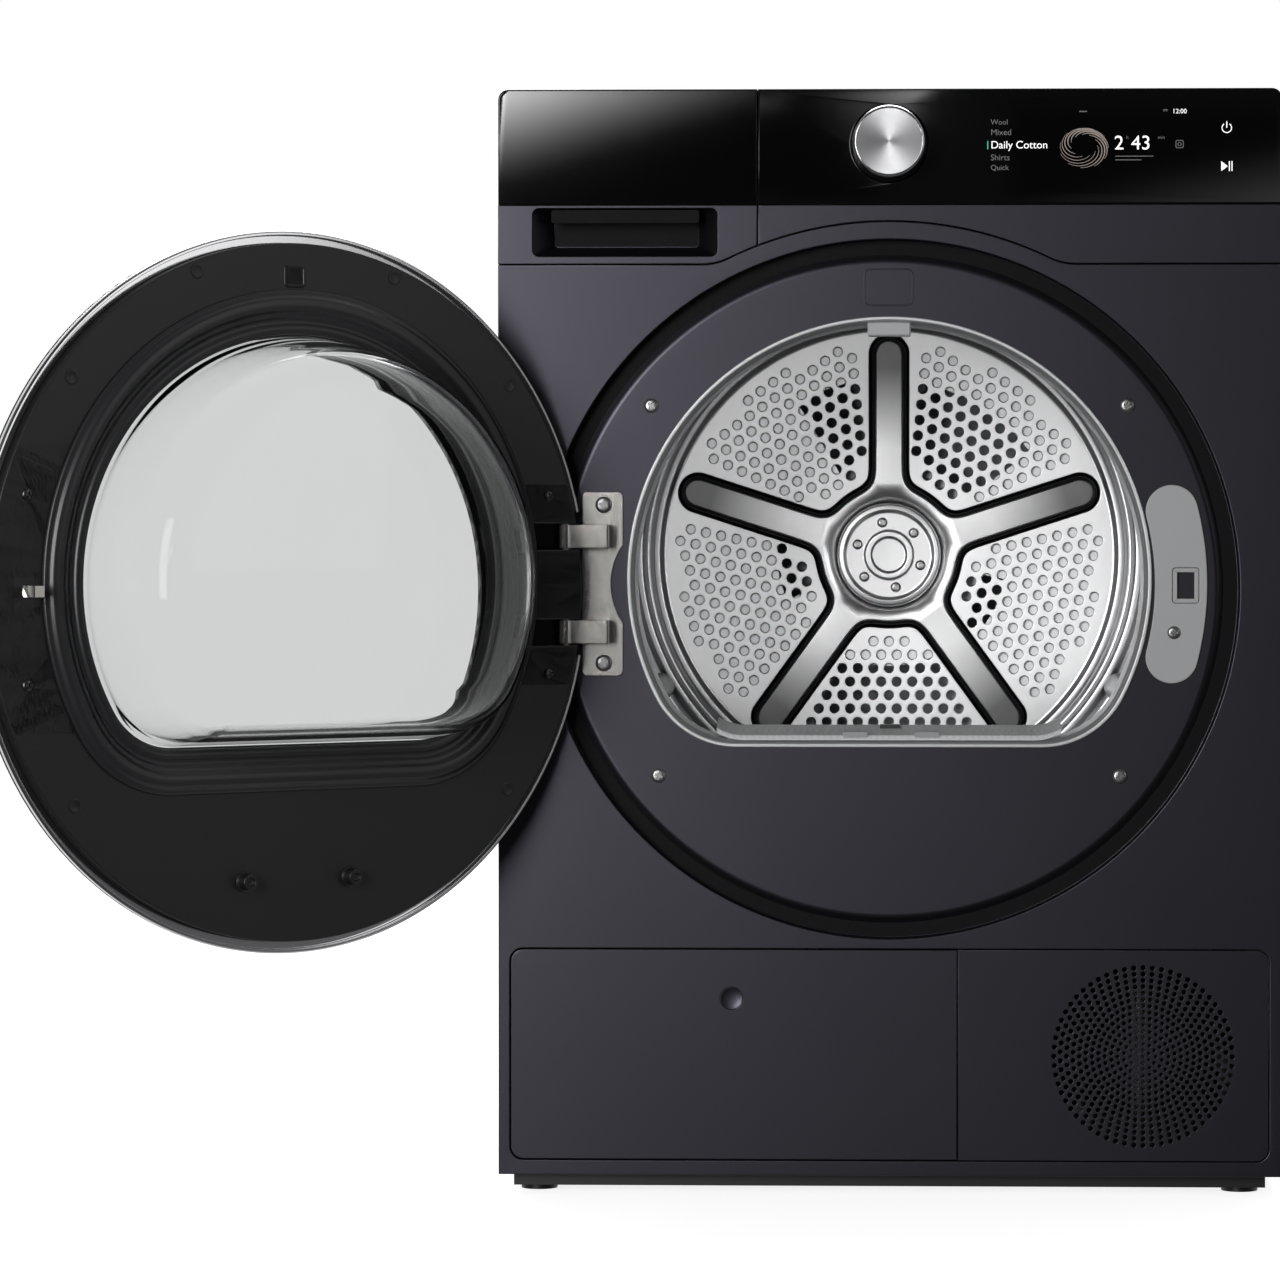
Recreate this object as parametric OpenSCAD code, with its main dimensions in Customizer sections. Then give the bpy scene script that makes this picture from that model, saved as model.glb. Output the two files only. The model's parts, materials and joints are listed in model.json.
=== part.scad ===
// Heat-pump clothes dryer with a round glazed door, drawn with its door fully open.
// Origin on the floor under the middle of the cabinet; the front faces -Y and +Z is up.

/* [Cabinet] */
// Width of the cabinet
cab_w = 598; // [500:1:720]
// Height of the cabinet, floor to worktop
cab_h = 845; // [820:1:1020]
// Depth of the cabinet, front panel to back cover
cab_d = 600; // [560:1:720]
// Thickness of the painted steel sheet
sheet_t = 1.2; // [0.8:0.1:1.5]
// Thickness of the worktop
top_t = 23; // [15:1:30]
// Height of the foot pads that show under the tray
foot_h = 5; // [4:0.5:8]
// Radius of a foot pad
foot_r = 14; // [10:0.5:18]
// Distance of the foot centres from the cabinet's sides
foot_inset = 29; // [24:1:40]

/* [Front] */
// Height of the bottom edge of the front panel
panel_z = 14.5; // [12:0.5:20]
// Height of the glass part of the fascia
fascia_h = 88.2; // [70:0.1:110]
// Depth of the fascia and the drawer front
fascia_d = 14; // [10:1:20]
// Height of the painted strip between the fascia and the front panel's shoulder
strip_h = 45.8; // [42:0.1:60]
// Width of the front panel's rim between the door recess and its arched top edge
arch_rim = 13.5; // [8:0.5:14]
// Radius of the blends at the feet of the arch
arch_blend = 45; // [20:1:80]
// Width of the drawer front
drawer_w = 198.6; // [150:0.1:220]
// Gap between neighbouring front pieces
seam = 0.6; // [0.4:0.1:1.5]
// Width of the display window
display_w = 172; // [120:1:180]
// Height of the display window
display_h = 62; // [40:1:64]
// Diameter of the programme knob
knob_d = 55; // [40:0.5:70]
// How far the knob stands out
knob_out = 29; // [18:0.5:36]
// Height of the service flap and the grille
flap_h = 161; // [120:1:165]
// Distance of the flap's bottom edge above the floor
flap_z = 26.5; // [22:0.5:32]
// Where the flap meets the grille, right of the middle
flap_split = 52.5; // [20:0.5:80]
// Radius of the round field of holes in the grille
grille_r = 69; // [50:1:75]

/* [Door] */
// Radius of the loading opening
port_r = 201; // [165:1:206]
// Width of the seat between the loading opening and the door's edge
door_margin = 64; // [58:1:70]
// Height of the middle of the door
door_z = 463; // [455:0.5:475]
// Height of the flat bottom edge of the loading opening
port_flat_z = 341.7; // [330:0.1:350]
// Radius of the loading opening's two lower corners
port_corner = 70; // [50:1:80]
// Thickness of the door
door_t = 43; // [40:0.5:46]
// Depth of the recess that the door closes into
recess_d = 10; // [9:0.5:12]
// Opening angle of the door
door_angle = 141; // [100:1:141]
// Depth of the glass bowl behind the door's inner face
bowl_d = 85; // [60:1:90]
// Distance between the two hinge arms
arm_pitch = 72.9; // [60:0.1:90]
// Radius of a hinge pin
pin_r = 2.5; // [2:0.1:3]

/* [Drum] */
// Gap between the drum and the cabinet's sides
drum_gap = 12.8; // [9:0.1:20]
// Height of the drum's axis above the middle of the door
drum_lift = 22.6; // [18:0.1:26]
// Radius of the perforated middle of the drum's back
star_r = 186; // [150:1:200]
// Radius of one perforation
perf_r = 4; // [2.5:0.1:5]
// Distance between perforations
perf_pitch = 13.4; // [11:0.1:18]
// Width of a spoke's raised bar
spoke_w = 24; // [16:1:30]
// Radius of the drum's hub
hub_r = 44.5; // [36:0.5:50]
// Radius of the drum's shaft
shaft_r = 12; // [8:0.5:15]
// Radius of a front support roller
roller_r = 20; // [14:0.5:24]
// Width of the drive belt
belt_w = 12; // [8:1:18]

/* [Drive and heat pump] */
// Radius of the belt pulley on the motor's shaft
pulley_r = 9; // [7:0.5:12]
// Height of the motor's shaft
motor_z = 112; // [108:1:120]
// Distance of the motor's shaft right of the middle
motor_x = 100; // [96:1:115]
// Radius of the motor's case
motor_r = 50; // [40:1:56]
// Radius of the process fan
fan_r = 72; // [58:1:74]
// Radius of the compressor
comp_r = 52; // [44:1:56]
// Radius of a refrigerant pipe
pipe_r = 4; // [3:0.5:6]

/* [Hidden] */
run = 0.05;
gap = 0.3;
y_f = -cab_d / 2;
y_b = cab_d / 2;
half_w = cab_w / 2;
in_w = half_w - sheet_t;
top_z = cab_h - top_t;
fascia_z = cab_h - fascia_h;
shoulder_z = fascia_z - strip_h;
split_x = -half_w + drawer_w;
// planes behind the front, and the back
y_plate = y_f + recess_d;
y_bulk = y_f + 71;
y_duct = y_b - 9;
y_rear = y_b - 85;
// drum
drum_z = door_z + drum_lift;
drum_floor_z = 200.6;
drum_r = min(in_w - drum_gap, drum_z - drum_floor_z);
drum_y0 = y_bulk + 16;
drum_y1 = y_rear - 9;
drum_t = 1;
lip_r = port_r + 44;
star_y = drum_y1 - 8;
belt_y = drum_y0 + 190;
belt_t = 2.6;
// door: the closed door's inner face lies at y_in, and depths run from it towards the front
door_r = port_r + door_margin;
y_in = y_plate - 9.5;
recess_r = door_r + 2.3;
port_cz = door_z + 8;
bowl_r = port_r - 21;
seal_out = y_plate - 2 - gap - y_in;
stop_out = y_plate - gap - y_in;
seal_r = port_r + 13;
hinge_x = -(door_r - 18);
hinge_y = y_in - 9.3;
hw_z = door_z + 4;
arm_w = 18;
arm_z = [hw_z - arm_pitch / 2, hw_z + arm_pitch / 2];
latch_x = port_r + 25.6;
// front pieces
flap_w = half_w - 9.5;
flap_top = flap_z + flap_h;
flap_y = y_f + 1.5;
flap_pin_z = flap_z + 1.5;
knob_z = fascia_z + 46.2;
pocket_x = [split_x - 172, split_x - 30.8];
pocket_z = [shoulder_z + 6.5, fascia_z - 2.8];
tank_x = [-half_w + 16, split_x - 15];
tank_z = [shoulder_z + 49, top_z - 11];
tank_len = y_rear - y_f - fascia_d - 21;
hinge_screws = [for (s = [-1, 1]) [hinge_x + 28.5, hw_z + s * 60.6]];
latch_screw = [latch_x - 9, hw_z - 37];
cover_screws = [for (x = [-door_r + 40, door_r - 40], s = [-1, 1]) [x, hw_z + s * 67.5]];
screw_spots = [for (s = [-1, 1]) each [[s * (port_r - 19), door_z + 140.5],
    [s * (port_r - 24.5), door_z - 143]]];
foot_x = half_w - foot_inset;
foot_y = y_b - 38;
tray_w = half_w - 11;
tray_top = 60;
roller_a = 33;
roller_d = drum_r + gap + roller_r;
grille_x = (flap_split + flap_w) / 2 + 23;
grille_z = flap_z + 79.9;
filter_w = 124;
tank_mouth_r = 14;
// mains inlet in the back
inlet = [half_w - 70, top_z - 30];
inlet_r = 10;
inlet_bore_r = 4.5;
// blanking plugs and rubber stops: x, z and radius
plug_spots = [for (s = [-1, 1]) each [[s * 85, door_z + 233, 5.8], [s * 189, door_z + 155, 5.8],
    [s * 187, door_z - 150, 5.8]]];
stop_spots = [for (s = [-1, 1]) [s * 45.5, door_z - 210, 6.2]];
// the hub's six screws
hub_screws = [for (k = [0 : 5]) let (a = 41.7 + 60 * k) [28.4 * cos(a), drum_z + 28.4 * sin(a)]];
// the holes of one sector, on rows square to the line midway between two spokes
perf_rows = floor((star_r - hub_r) / (perf_pitch * 0.866));
perf_holes = [for (i = [-perf_rows : perf_rows], j = [0 : perf_rows + 4])
    let (x = (j + 0.5) * perf_pitch * 0.866 + hub_r * 0.5, y = (i + (j % 2) / 2) * perf_pitch,
        d = norm([x, y]))
    if (d < star_r - perf_r - 1 && d > hub_r + 14 && x * sin(36) - abs(y) * cos(36) > 18 + perf_r)
        [x, y]];
// drive
fan_y = y_rear - 65;
motor_y = fan_y - 115;
drum_c = [0, drum_z];
pulley_c = [motor_x, motor_z];
idler_r = 14;
// where the belt's slack run is pushed in: a point beside the belt near the pulley
belt_ang = atan2(motor_z - drum_z, motor_x);
belt_b = acos((drum_r - pulley_r) / norm(pulley_c - drum_c));
run_dir = [cos(belt_ang - belt_b), sin(belt_ang - belt_b)];
run_tan = [-run_dir[1], run_dir[0]];
idler_c = pulley_c + run_dir * (pulley_r + gap + belt_t + gap + idler_r) - run_tan * 62;
hx_x = [-half_w + 22, -72];
hx_y = [y_f + 36, y_rear - 90];
comp_c = [half_w - 92, y_f + 178];

painted = [0.2, 0.2, 0.23];
gloss = [0.04, 0.04, 0.05];
black = [0.1, 0.1, 0.11];
light = [0.72, 0.73, 0.73];
steel = [0.62, 0.63, 0.65];
galv = [0.5, 0.52, 0.55];
bright = [0.85, 0.85, 0.87];
rubber = [0.16, 0.16, 0.17];

$fn = 72;

// ---- helpers ----

// a flat outline in X and Z, drawn out from y0 towards the back
module slab(y0, t) {
    translate([0, y0 + t, 0]) rotate([90, 0, 0]) linear_extrude(t) children();
}

// a cylinder along Y that starts at y0
module rod(x, z, r, y0, len) {
    translate([x, y0, z]) rotate([-90, 0, 0]) cylinder(r = r, h = len);
}

// a turned shape about an axis along Y; points are [radius, y]
module turned(x, z, pts) {
    translate([x, 0, z]) rotate([-90, 0, 0]) rotate_extrude($fn = 144) polygon(pts);
}

// a box from its two corners
module block(a, b) {
    translate(a) cube(b - a);
}

// a rectangle with round corners, from its two corners
module round_rect(x0, z0, x1, z1, r) {
    translate([x0 + r, z0]) square([x1 - x0 - 2 * r, z1 - z0]);
    translate([x0, z0 + r]) square([x1 - x0, z1 - z0 - 2 * r]);
    for (x = [x0 + r, x1 - r], z = [z0 + r, z1 - r]) translate([x, z]) circle(r);
}

// the convex outline round two circles; the straight flanks are their outer tangents
module two_circles(c1, r1, c2, r2) {
    d = norm(c2 - c1);
    a = atan2(c2[1] - c1[1], c2[0] - c1[0]);
    b = acos((r1 - r2) / d);
    p = [for (s = [-1, 1]) c1 + r1 * [cos(a + s * b), sin(a + s * b)]];
    q = [for (s = [1, -1]) c2 + r2 * [cos(a + s * b), sin(a + s * b)]];
    translate(c1) circle(r1, $fn = 180);
    translate(c2) circle(r2);
    polygon(concat(p, q));
}

// a circle about the opening's middle with a flat bottom edge and two blended corners
module d_shape(r, flat, corner) {
    cz = port_cz;
    cc = flat + corner;
    cx = sqrt(pow(r - corner, 2) - pow(cz - cc, 2));
    a = atan2(cc - cz, cx);
    polygon(concat(arc([cx, cc], corner, -90, a, 14), arc([0, cz], r, a, 180 - a, 72),
        arc([-cx, cc], corner, 180 - a, 270, 14)));
}

module port_shape(g = 0) {
    d_shape(port_r + g, port_flat_z - g, port_corner + g);
}

// the glass bowl's outline, pulled in by g
module bowl_shape(g = 0) {
    d_shape(bowl_r - g, port_flat_z + 10 + g, port_corner - 14 - g / 2);
}

// a countersunk cross-head screw, its head on the plane y and pointing to the front
module screw_y(x, z, y, r_head = 5.5, len = 9) {
    difference() {
        turned(x, z, [[0, y - 2.2], [r_head * 0.7, y - 2.2], [r_head, y - 0.6], [r_head, y],
            [2, y], [2, y + len], [0, y + len]]);
        for (a = [0, 90]) translate([x, y - 2.3, z]) rotate([0, a, 0])
            cube([r_head, 2.4, 1.2], center = true);
    }
}

// turns the closed door's pieces about the hinge to the open position
module at_open_door() {
    translate([hinge_x, hinge_y, 0]) rotate(-door_angle) translate([-hinge_x, -hinge_y, 0])
        children();
}

// the two slots in the door's hinge side that the arms swing through
module arm_slots() {
    for (z = arm_z) block([-door_r - 5, y_in - 15, z - arm_w / 2 - 1],
        [hinge_x + 38, y_in + 3, z + arm_w / 2 + 1]);
}

// the room behind the inner panel's face for the knuckles beside each arm
module knuckle_room() {
    for (z = arm_z) block([-door_r - 5, y_in - 15, z - arm_w / 2 - 9],
        [hinge_x + 26, y_in - 3, z + arm_w / 2 + 9]);
}

// points along an arc from angle a0 to a1
function arc(c, r, a0, a1, n) = [for (i = [0 : n]) let (a = a0 + (a1 - a0) * i / n)
    c + r * [cos(a), sin(a)]];

// the front panel's outline: flat shoulders blended into an arch round the door recess, where
// the recess stands higher than the shoulders
module panel_outline(low) {
    r = recess_r + arch_rim;
    rise = door_z + r - shoulder_z;
    h = shoulder_z + arch_blend - door_z;
    xb = sqrt(max(0, pow(r + arch_blend, 2) - h * h));
    a = atan2(h, xb);
    foot = arc([xb, shoulder_z + arch_blend], arch_blend, 270, 180 + a, 10);
    half = concat(foot, arc([0, door_z], r, a, 90, 18));
    arch = rise > 0.5 ? concat(half, [for (i = [len(half) - 2 : -1 : 0]) [-half[i][0],
        half[i][1]]]) : [];
    polygon(concat([[-half_w, low], [half_w, low], [half_w, shoulder_z]], arch,
        [[-half_w, shoulder_z]]));
}

// ---- cabinet ----

module base_tray() color(black) difference() {
    union() {
        block([-tray_w, y_f + 12, foot_h], [tray_w, y_duct - 4, tray_top]);
        block([-in_w, y_f + sheet_t, panel_z], [in_w, y_duct, panel_z + 3]);
    }
    block([-tray_w + 3, y_f + 15, foot_h + 5], [tray_w - 3, y_duct - 7, tray_top + 1]);
    for (x = [-foot_x, foot_x], y = [-foot_y, foot_y])
        translate([x, y, foot_h - 1]) cylinder(r = 5 + run, h = 7);
}

module feet() color(black) for (x = [-foot_x, foot_x], y = [-foot_y, foot_y])
    translate([x, y, 0]) {
        cylinder(r = foot_r, h = foot_h);
        cylinder(r = 5, h = foot_h + 5);
    }

// a side panel's sheet with its two inward flanges, drawn for the left side
module side_sheet() {
    translate([-half_w, 0, 0]) rotate([90, 0, 90]) linear_extrude(sheet_t)
        polygon([[y_f + sheet_t, panel_z], [y_f + sheet_t, shoulder_z],
            [y_f + fascia_d, shoulder_z], [y_f + fascia_d, top_z], [y_duct, top_z],
            [y_duct, panel_z]]);
    block([-in_w, y_f + sheet_t, tray_top], [-in_w + 6, y_f + 2 * sheet_t, shoulder_z]);
    block([-in_w, y_duct - sheet_t, tray_top], [-in_w + 14, y_duct, top_z]);
    block([-in_w, y_f + fascia_d, shoulder_z], [-in_w + 9, y_f + fascia_d + sheet_t, top_z]);
    block([-in_w, y_f + fascia_d + sheet_t, top_z - sheet_t], [-in_w + 12, y_duct - sheet_t,
        top_z]);
}

module side_panel_left() color(painted) side_sheet();

module side_panel_right() color(painted) mirror([1, 0, 0]) side_sheet();

module back_panel() color(galv) difference() {
    union() {
        block([-half_w, y_duct, panel_z], [half_w, y_duct + sheet_t, top_z]);
        for (x = [-half_w + 30, half_w - 42]) block([x, y_duct + sheet_t, 90],
            [x + 12, y_duct + sheet_t + 2, top_z - 60]);
    }
    rod(0, drum_z, star_r + 20, y_duct - 1, 4);
    rod(inlet[0], inlet[1], inlet_r + run, y_duct - 1, 6);
    for (i = [0 : 5], j = [0 : 2]) slab(y_duct - 1, 6)
        round_rect(half_w - 190 + j * 45, 60 + i * 12, half_w - 155 + j * 45, 65 + i * 12, 2.4);
}

module duct_cover() color(galv) difference() {
    y0 = y_duct + sheet_t;
    r = star_r + 44;
    turned(0, drum_z, [[0, y_b - 1.2], [0, y_b], [r - 22, y_b], [r - 14, y0 + 1.2],
        [r, y0 + 1.2], [r, y0], [r - 15, y0], [r - 23, y_b - 1.2]]);
    for (a = [15 : 30 : 345]) rod((r - 6) * cos(a), drum_z + (r - 6) * sin(a), 2.2, y0 - 1, 4);
}

module rear_bulkhead() color(steel) {
    difference() {
        union() {
            slab(y_rear, 1.5) round_rect(-in_w + 1, tray_top + 142, in_w - 1, top_z - 25, 12);
            rod(0, drum_z, shaft_r + 13, y_rear - 3, 24);
            turned(0, drum_z, [[star_r + 18, y_rear + 1.5], [star_r + 19.5, y_rear + 1.5],
                [star_r + 19.5, y_duct], [star_r + 18, y_duct]]);
        }
        rod(0, drum_z, shaft_r + 5, y_rear - 4, 26);
        for (a = [0 : 4]) slab(y_rear - 2, 5) rear_window(90 + 36 + 72 * a);
    }
}

// an air window in the rear bulkhead: a sector of a ring about the drum's axis
module rear_window(a) {
    w = 24;
    intersection() {
        difference() {
            translate([0, drum_z]) circle(star_r - 14);
            translate([0, drum_z]) circle(hub_r + 36);
        }
        translate([0, drum_z]) polygon([[0, 0], 400 * [cos(a - w), sin(a - w)],
            400 * [cos(a + w), sin(a + w)]]);
    }
}

module rear_bearing() color(bright) turned(0, drum_z, [[shaft_r + run, y_rear - 3],
    [shaft_r + 5, y_rear - 3], [shaft_r + 5, y_rear + 21], [shaft_r + run, y_rear + 21]]);

module worktop() color(painted) difference() {
    union() {
        block([-half_w + 8, y_f + fascia_d, top_z], [half_w - 8, y_duct + sheet_t, cab_h]);
        block([-half_w, y_f + fascia_d, top_z], [half_w, y_duct + sheet_t, cab_h - 8]);
        for (s = [-1, 1]) translate([s * (half_w - 8), y_f + fascia_d, cab_h - 8])
            rotate([-90, 0, 0]) cylinder(r = 8, h = y_duct + sheet_t - y_f - fascia_d);
    }
    block([-half_w + 14, y_f + fascia_d + 12, top_z - 1], [half_w - 14, y_duct - 10,
        top_z + 4]);
}

module front_panel() color(painted) difference() {
    union() {
        slab(y_f, sheet_t) difference() {
            panel_outline(panel_z);
            translate([0, door_z]) circle(recess_r, $fn = 144);
            round_rect(-flap_w - seam, flap_z - seam, flap_w + seam, flap_top + seam, 10);
        }
        slab(y_f, 12) difference() {
            round_rect(-flap_w - seam - 1, flap_z - seam - 1, flap_w + seam + 1,
                flap_top + seam + 1, 11);
            round_rect(-flap_w - seam, flap_z - seam, flap_w + seam, flap_top + seam, 10);
        }
        door_recess();
    }
    slab(y_f - 1, 40) port_shape(-3.2);
    slab(y_f - 1, 40) lock_window(1);
    for (p = concat(screw_spots, hinge_screws, [latch_screw]))
        rod(p[0], p[1], 2.2, y_plate - 1, 4);
    flap_bore(-flap_w - 5, 12);
}

// the dished recess: its wall, the groove round the rim and the raised plate in the middle
module door_recess() {
    t = sheet_t;
    r1 = door_r - 9;
    yg = y_plate + 3;
    turned(0, door_z, [[0, y_plate], [r1 - 5, y_plate], [r1, yg], [recess_r, yg],
        [recess_r, y_f], [recess_r + t, y_f], [recess_r + t, yg + t], [r1 - 0.6, yg + t],
        [r1 - 5.6, y_plate + t], [0, y_plate + t]]);
}

module lock_window(g) {
    round_rect(latch_x - 9.75 - g, hw_z - 14.3 - g, latch_x + 9.75 + g, hw_z + 12.3 + g, 2);
}

module trim_band() color(painted) {
    slab(y_f, fascia_d) difference() {
        translate([split_x + seam / 2, shoulder_z + seam / 2])
            square([half_w - split_x - seam / 2, strip_h - seam]);
        translate([0, seam / 2]) panel_outline(panel_z);
    }
}

// the fascia's outline, with its one outer top corner rounded
module fascia_shape(x0, x1, z0, s) {
    r = 8;
    difference() {
        translate([x0, z0]) square([x1 - x0, cab_h - z0]);
        translate([s > 0 ? x1 - r : x0, cab_h - r]) square(r);
    }
    intersection() {
        translate([s > 0 ? x1 - r : x0 + r, cab_h - r]) circle(r);
        translate([x0, z0]) square([x1 - x0, cab_h - z0]);
    }
}

module control_fascia() color(gloss) difference() {
    slab(y_f, fascia_d) fascia_shape(split_x + seam / 2, half_w, fascia_z, 1);
    block([split_x + 4, y_f + 3, fascia_z + 4], [half_w - 10, y_f + fascia_d + 1,
        cab_h - 7]);
    rod(0, knob_z, 4.3, y_f - 1, 6);
    rod(0, knob_z, knob_d / 2 + 2, y_f - 1, 1.8);
    slab(y_f - 1, 5) display_window(0);
}

module display_window(g) {
    x1 = half_w - 68;
    round_rect(x1 - display_w - g, knob_z - display_h / 2 - g, x1 + g,
        knob_z + display_h / 2 + g, 3);
}

module display_module() color(gloss) union() {
    slab(y_f + 0.2, 2.8) display_window(-gap);
    slab(y_f + 3, 8) display_window(3);
}

module control_board() color([0.1, 0.35, 0.2]) {
    block([split_x + 8, y_f + 11.2, fascia_z + 8], [half_w - 14, y_f + 12.8, cab_h - 16]);
    difference() {
        rod(0, knob_z, 12, y_f + 4, 7.2);
        rod(0, knob_z, 4 + run, y_f + 3, 6.5);
    }
}

module knob() color(bright) {
    r = knob_d / 2;
    y1 = y_f - knob_out;
    turned(0, knob_z, [[0, y1 + 0.6], [r - 5, y1], [r - 2.5, y1 + 0.4], [r - 0.6, y1 + 2.2],
        [r, y1 + 5], [r, y_f + 0.2], [r - 2, y_f + 0.2], [r - 2, y1 + 6], [6, y1 + 6],
        [6, y_f + 0.3], [4, y_f + 0.3], [4, y_f + 8.5], [0, y_f + 8.5]]);
}

module porthole_collar() color(light) difference() {
    union() {
        slab(y_plate - 2, 2) port_shape(0);
        slab(y_plate, y_bulk - y_plate) port_shape(-3.6);
    }
    slab(y_plate - 3, y_bulk - y_plate + 4) port_shape(-6);
    block([-filter_w - 1, y_plate + 8, port_flat_z - 4], [filter_w + 1, y_bulk - 7,
        port_flat_z + 8]);
}

module filter_duct() color(light) difference() {
    y0 = y_plate + 5;
    y1 = y_bulk - 3;
    z0 = 190;
    block([-filter_w - 4, y0, z0], [filter_w + 4, y1, port_flat_z - 2.5]);
    block([-filter_w - 1.5, y0 + 2.5, z0 - 1], [filter_w + 1.5, y1 - 2.5, port_flat_z]);
}

module lint_filter() color(light) difference() {
    y0 = y_plate + 8.5;
    y1 = y_bulk - 7.5;
    union() {
        block([-filter_w + 0.5, y0, port_flat_z - 2], [filter_w - 0.5, y1, port_flat_z + 7]);
        difference() {
            block([-filter_w + 8, y0 + 4, 225], [filter_w - 8, y1 - 4, port_flat_z - 2]);
            block([-filter_w + 11, y0 + 7, 228], [filter_w - 11, y1 - 7, port_flat_z + 3]);
            for (x = [-100 : 25 : 75]) block([x, y0 - 1, 240], [x + 20, y1 + 1, 322]);
        }
    }
    for (x = [-33, 19]) slab(y0 + 8, 18) round_rect(x, port_flat_z + 1, x + 14,
        port_flat_z + 9, 3);
    for (x = [-112 : 8 : 104]) if (abs(x + 4) > 44)
        block([x, y0 + 5, port_flat_z - 1], [x + 4, y1 - 5, port_flat_z + 8]);
}

module front_bulkhead() color(galv) difference() {
    union() {
        slab(y_bulk, 2) round_rect(-in_w + 1, tray_top + 140, in_w - 1, shoulder_z + 36, 12);
        turned(0, drum_z, [[lip_r - 2, y_bulk + 2], [lip_r + 2, y_bulk + 2],
            [lip_r + 2, drum_y0 - 4], [lip_r - 2, drum_y0 - 4]]);
        for (p = screw_spots) rod(p[0], p[1], 7, y_plate + sheet_t, y_bulk - y_plate - sheet_t);
        for (s = [-1, 1]) rod(s * roller_d * sin(roller_a), drum_z - roller_d * cos(roller_a),
            5, y_bulk + 2, 40);
    }
    slab(y_bulk - 1, 5) port_shape(-6);
    for (p = screw_spots) rod(p[0], p[1], 2, y_plate, 11);
}

module felt_seals() color([0.75, 0.73, 0.68]) {
    turned(0, drum_z, [[lip_r - 3, drum_y0 - 4], [lip_r + 12, drum_y0 - 4],
        [lip_r + 12, drum_y0 - gap], [lip_r - 3, drum_y0 - gap]]);
    turned(0, drum_z, [[star_r + 42, drum_y1 + gap], [star_r + 56, drum_y1 + gap],
        [star_r + 56, y_rear], [star_r + 42, y_rear]]);
}

module kidney() {
    // a band of the ring round the opening with full round ends
    r = latch_x - 4;
    a = 14.5;
    w = 17;
    intersection() {
        difference() {
            translate([0, hw_z]) circle(r + w + 3.5, $fn = 144);
            translate([0, hw_z]) circle(r - w - 2.5, $fn = 144);
        }
        translate([0, hw_z]) polygon([[0, 0], 400 * [cos(a), -sin(a)], 400 * [cos(a), sin(a)]]);
    }
    for (s = [-1, 1]) translate([(r + 0.5) * cos(a), hw_z + s * (r + 0.5) * sin(a)])
        circle(w + 3);
}

module latch_plate() color(light) difference() {
    slab(y_plate - 2, 2) kidney();
    slab(y_plate - 3, 4) lock_window(gap);
    rod(latch_screw[0], latch_screw[1], 2.2, y_plate - 3, 5);
}

module door_lock() color(black) difference() {
    union() {
        slab(y_plate - 3, 3 + sheet_t) lock_window(0);
        block([latch_x - 13, y_plate + sheet_t, hw_z - 22], [latch_x + 15, y_plate + 30,
            hw_z + 20]);
    }
    slab(y_plate - 4, 24) round_rect(latch_x - 6.5, hw_z - 11, latch_x + 6.5, hw_z + 9, 1);
}

module cabinet_screws() color(bright) {
    for (p = screw_spots) screw_y(p[0], p[1], y_plate);
    for (p = hinge_screws) screw_y(p[0], p[1], y_plate - 1.5, 6.5, 6);
    screw_y(latch_screw[0], latch_screw[1], y_plate - 2, 5, 6);
}

module hinge_plate() color(bright) difference() {
    union() {
        slab(y_plate - 1.5, 1.5) difference() {
            round_rect(hinge_x + 12, hw_z - 70.6, hinge_x + 43.3, hw_z + 70.6, 4);
            translate([hinge_x + 87, hw_z]) circle(53, $fn = 96);
        }
        for (z = arm_z) hinge_arm(z);
    }
    for (z = arm_z) translate([hinge_x, hinge_y, z - arm_w])
        cylinder(r = pin_r + run, h = 2 * arm_w);
    for (p = hinge_screws) rod(p[0], p[1], 2.2, y_plate - 3, 5);
}

// an arm: a lug off the plate, a bar to the left and the barrel round the pin
module hinge_arm(z) {
    z0 = z - arm_w / 2;
    z1 = z + arm_w / 2;
    block([hinge_x + 22, hinge_y - 2.5, z0], [hinge_x + 34, y_plate - 1.5, z1]);
    block([hinge_x, hinge_y - 2.5, z0], [hinge_x + 34, hinge_y + 2.5, z1]);
    translate([hinge_x, hinge_y, z0]) cylinder(r = 5.5, h = arm_w);
}

// the outline of the lower front piece from x0 to x1
module lower_shape(x0, x1) {
    intersection() {
        round_rect(-flap_w, flap_z, flap_w, flap_top, 10 - seam);
        translate([x0, flap_z]) square([x1 - x0, flap_h]);
    }
}

module grille_panel() color(painted) difference() {
    slab(y_f, 3) lower_shape(flap_split + seam / 2, flap_w);
    pitch = grille_r / 6;
    for (ring = [0 : 6], k = [0 : max(1, 6 * ring) - 1]) let (a = 360 * k / max(1, 6 * ring))
        rod(grille_x + ring * pitch * cos(a), grille_z + ring * pitch * sin(a), 2.6, y_f - 1,
            6);
    flap_bore(flap_split, 5);
}

// a blind bore for a flap peg, running right from x
module flap_bore(x, len) {
    translate([x, flap_y, flap_pin_z]) rotate([0, 90, 0]) cylinder(r = 1 + run, h = len);
}

// ---- heat pump ----

module exchanger_housing() color(black) difference() {
    block([hx_x[0], hx_y[0], foot_h + 5], [hx_x[1], hx_y[1], 190]);
    block([hx_x[0] + 3, hx_y[0] + 3, foot_h + 8], [hx_x[1] - 3, hx_y[1] + 1, 187]);
    block([hx_x[0] + 25, y_f + 20, 186], [hx_x[1] - 5, y_bulk - 5.5, 191]);
}

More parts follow.
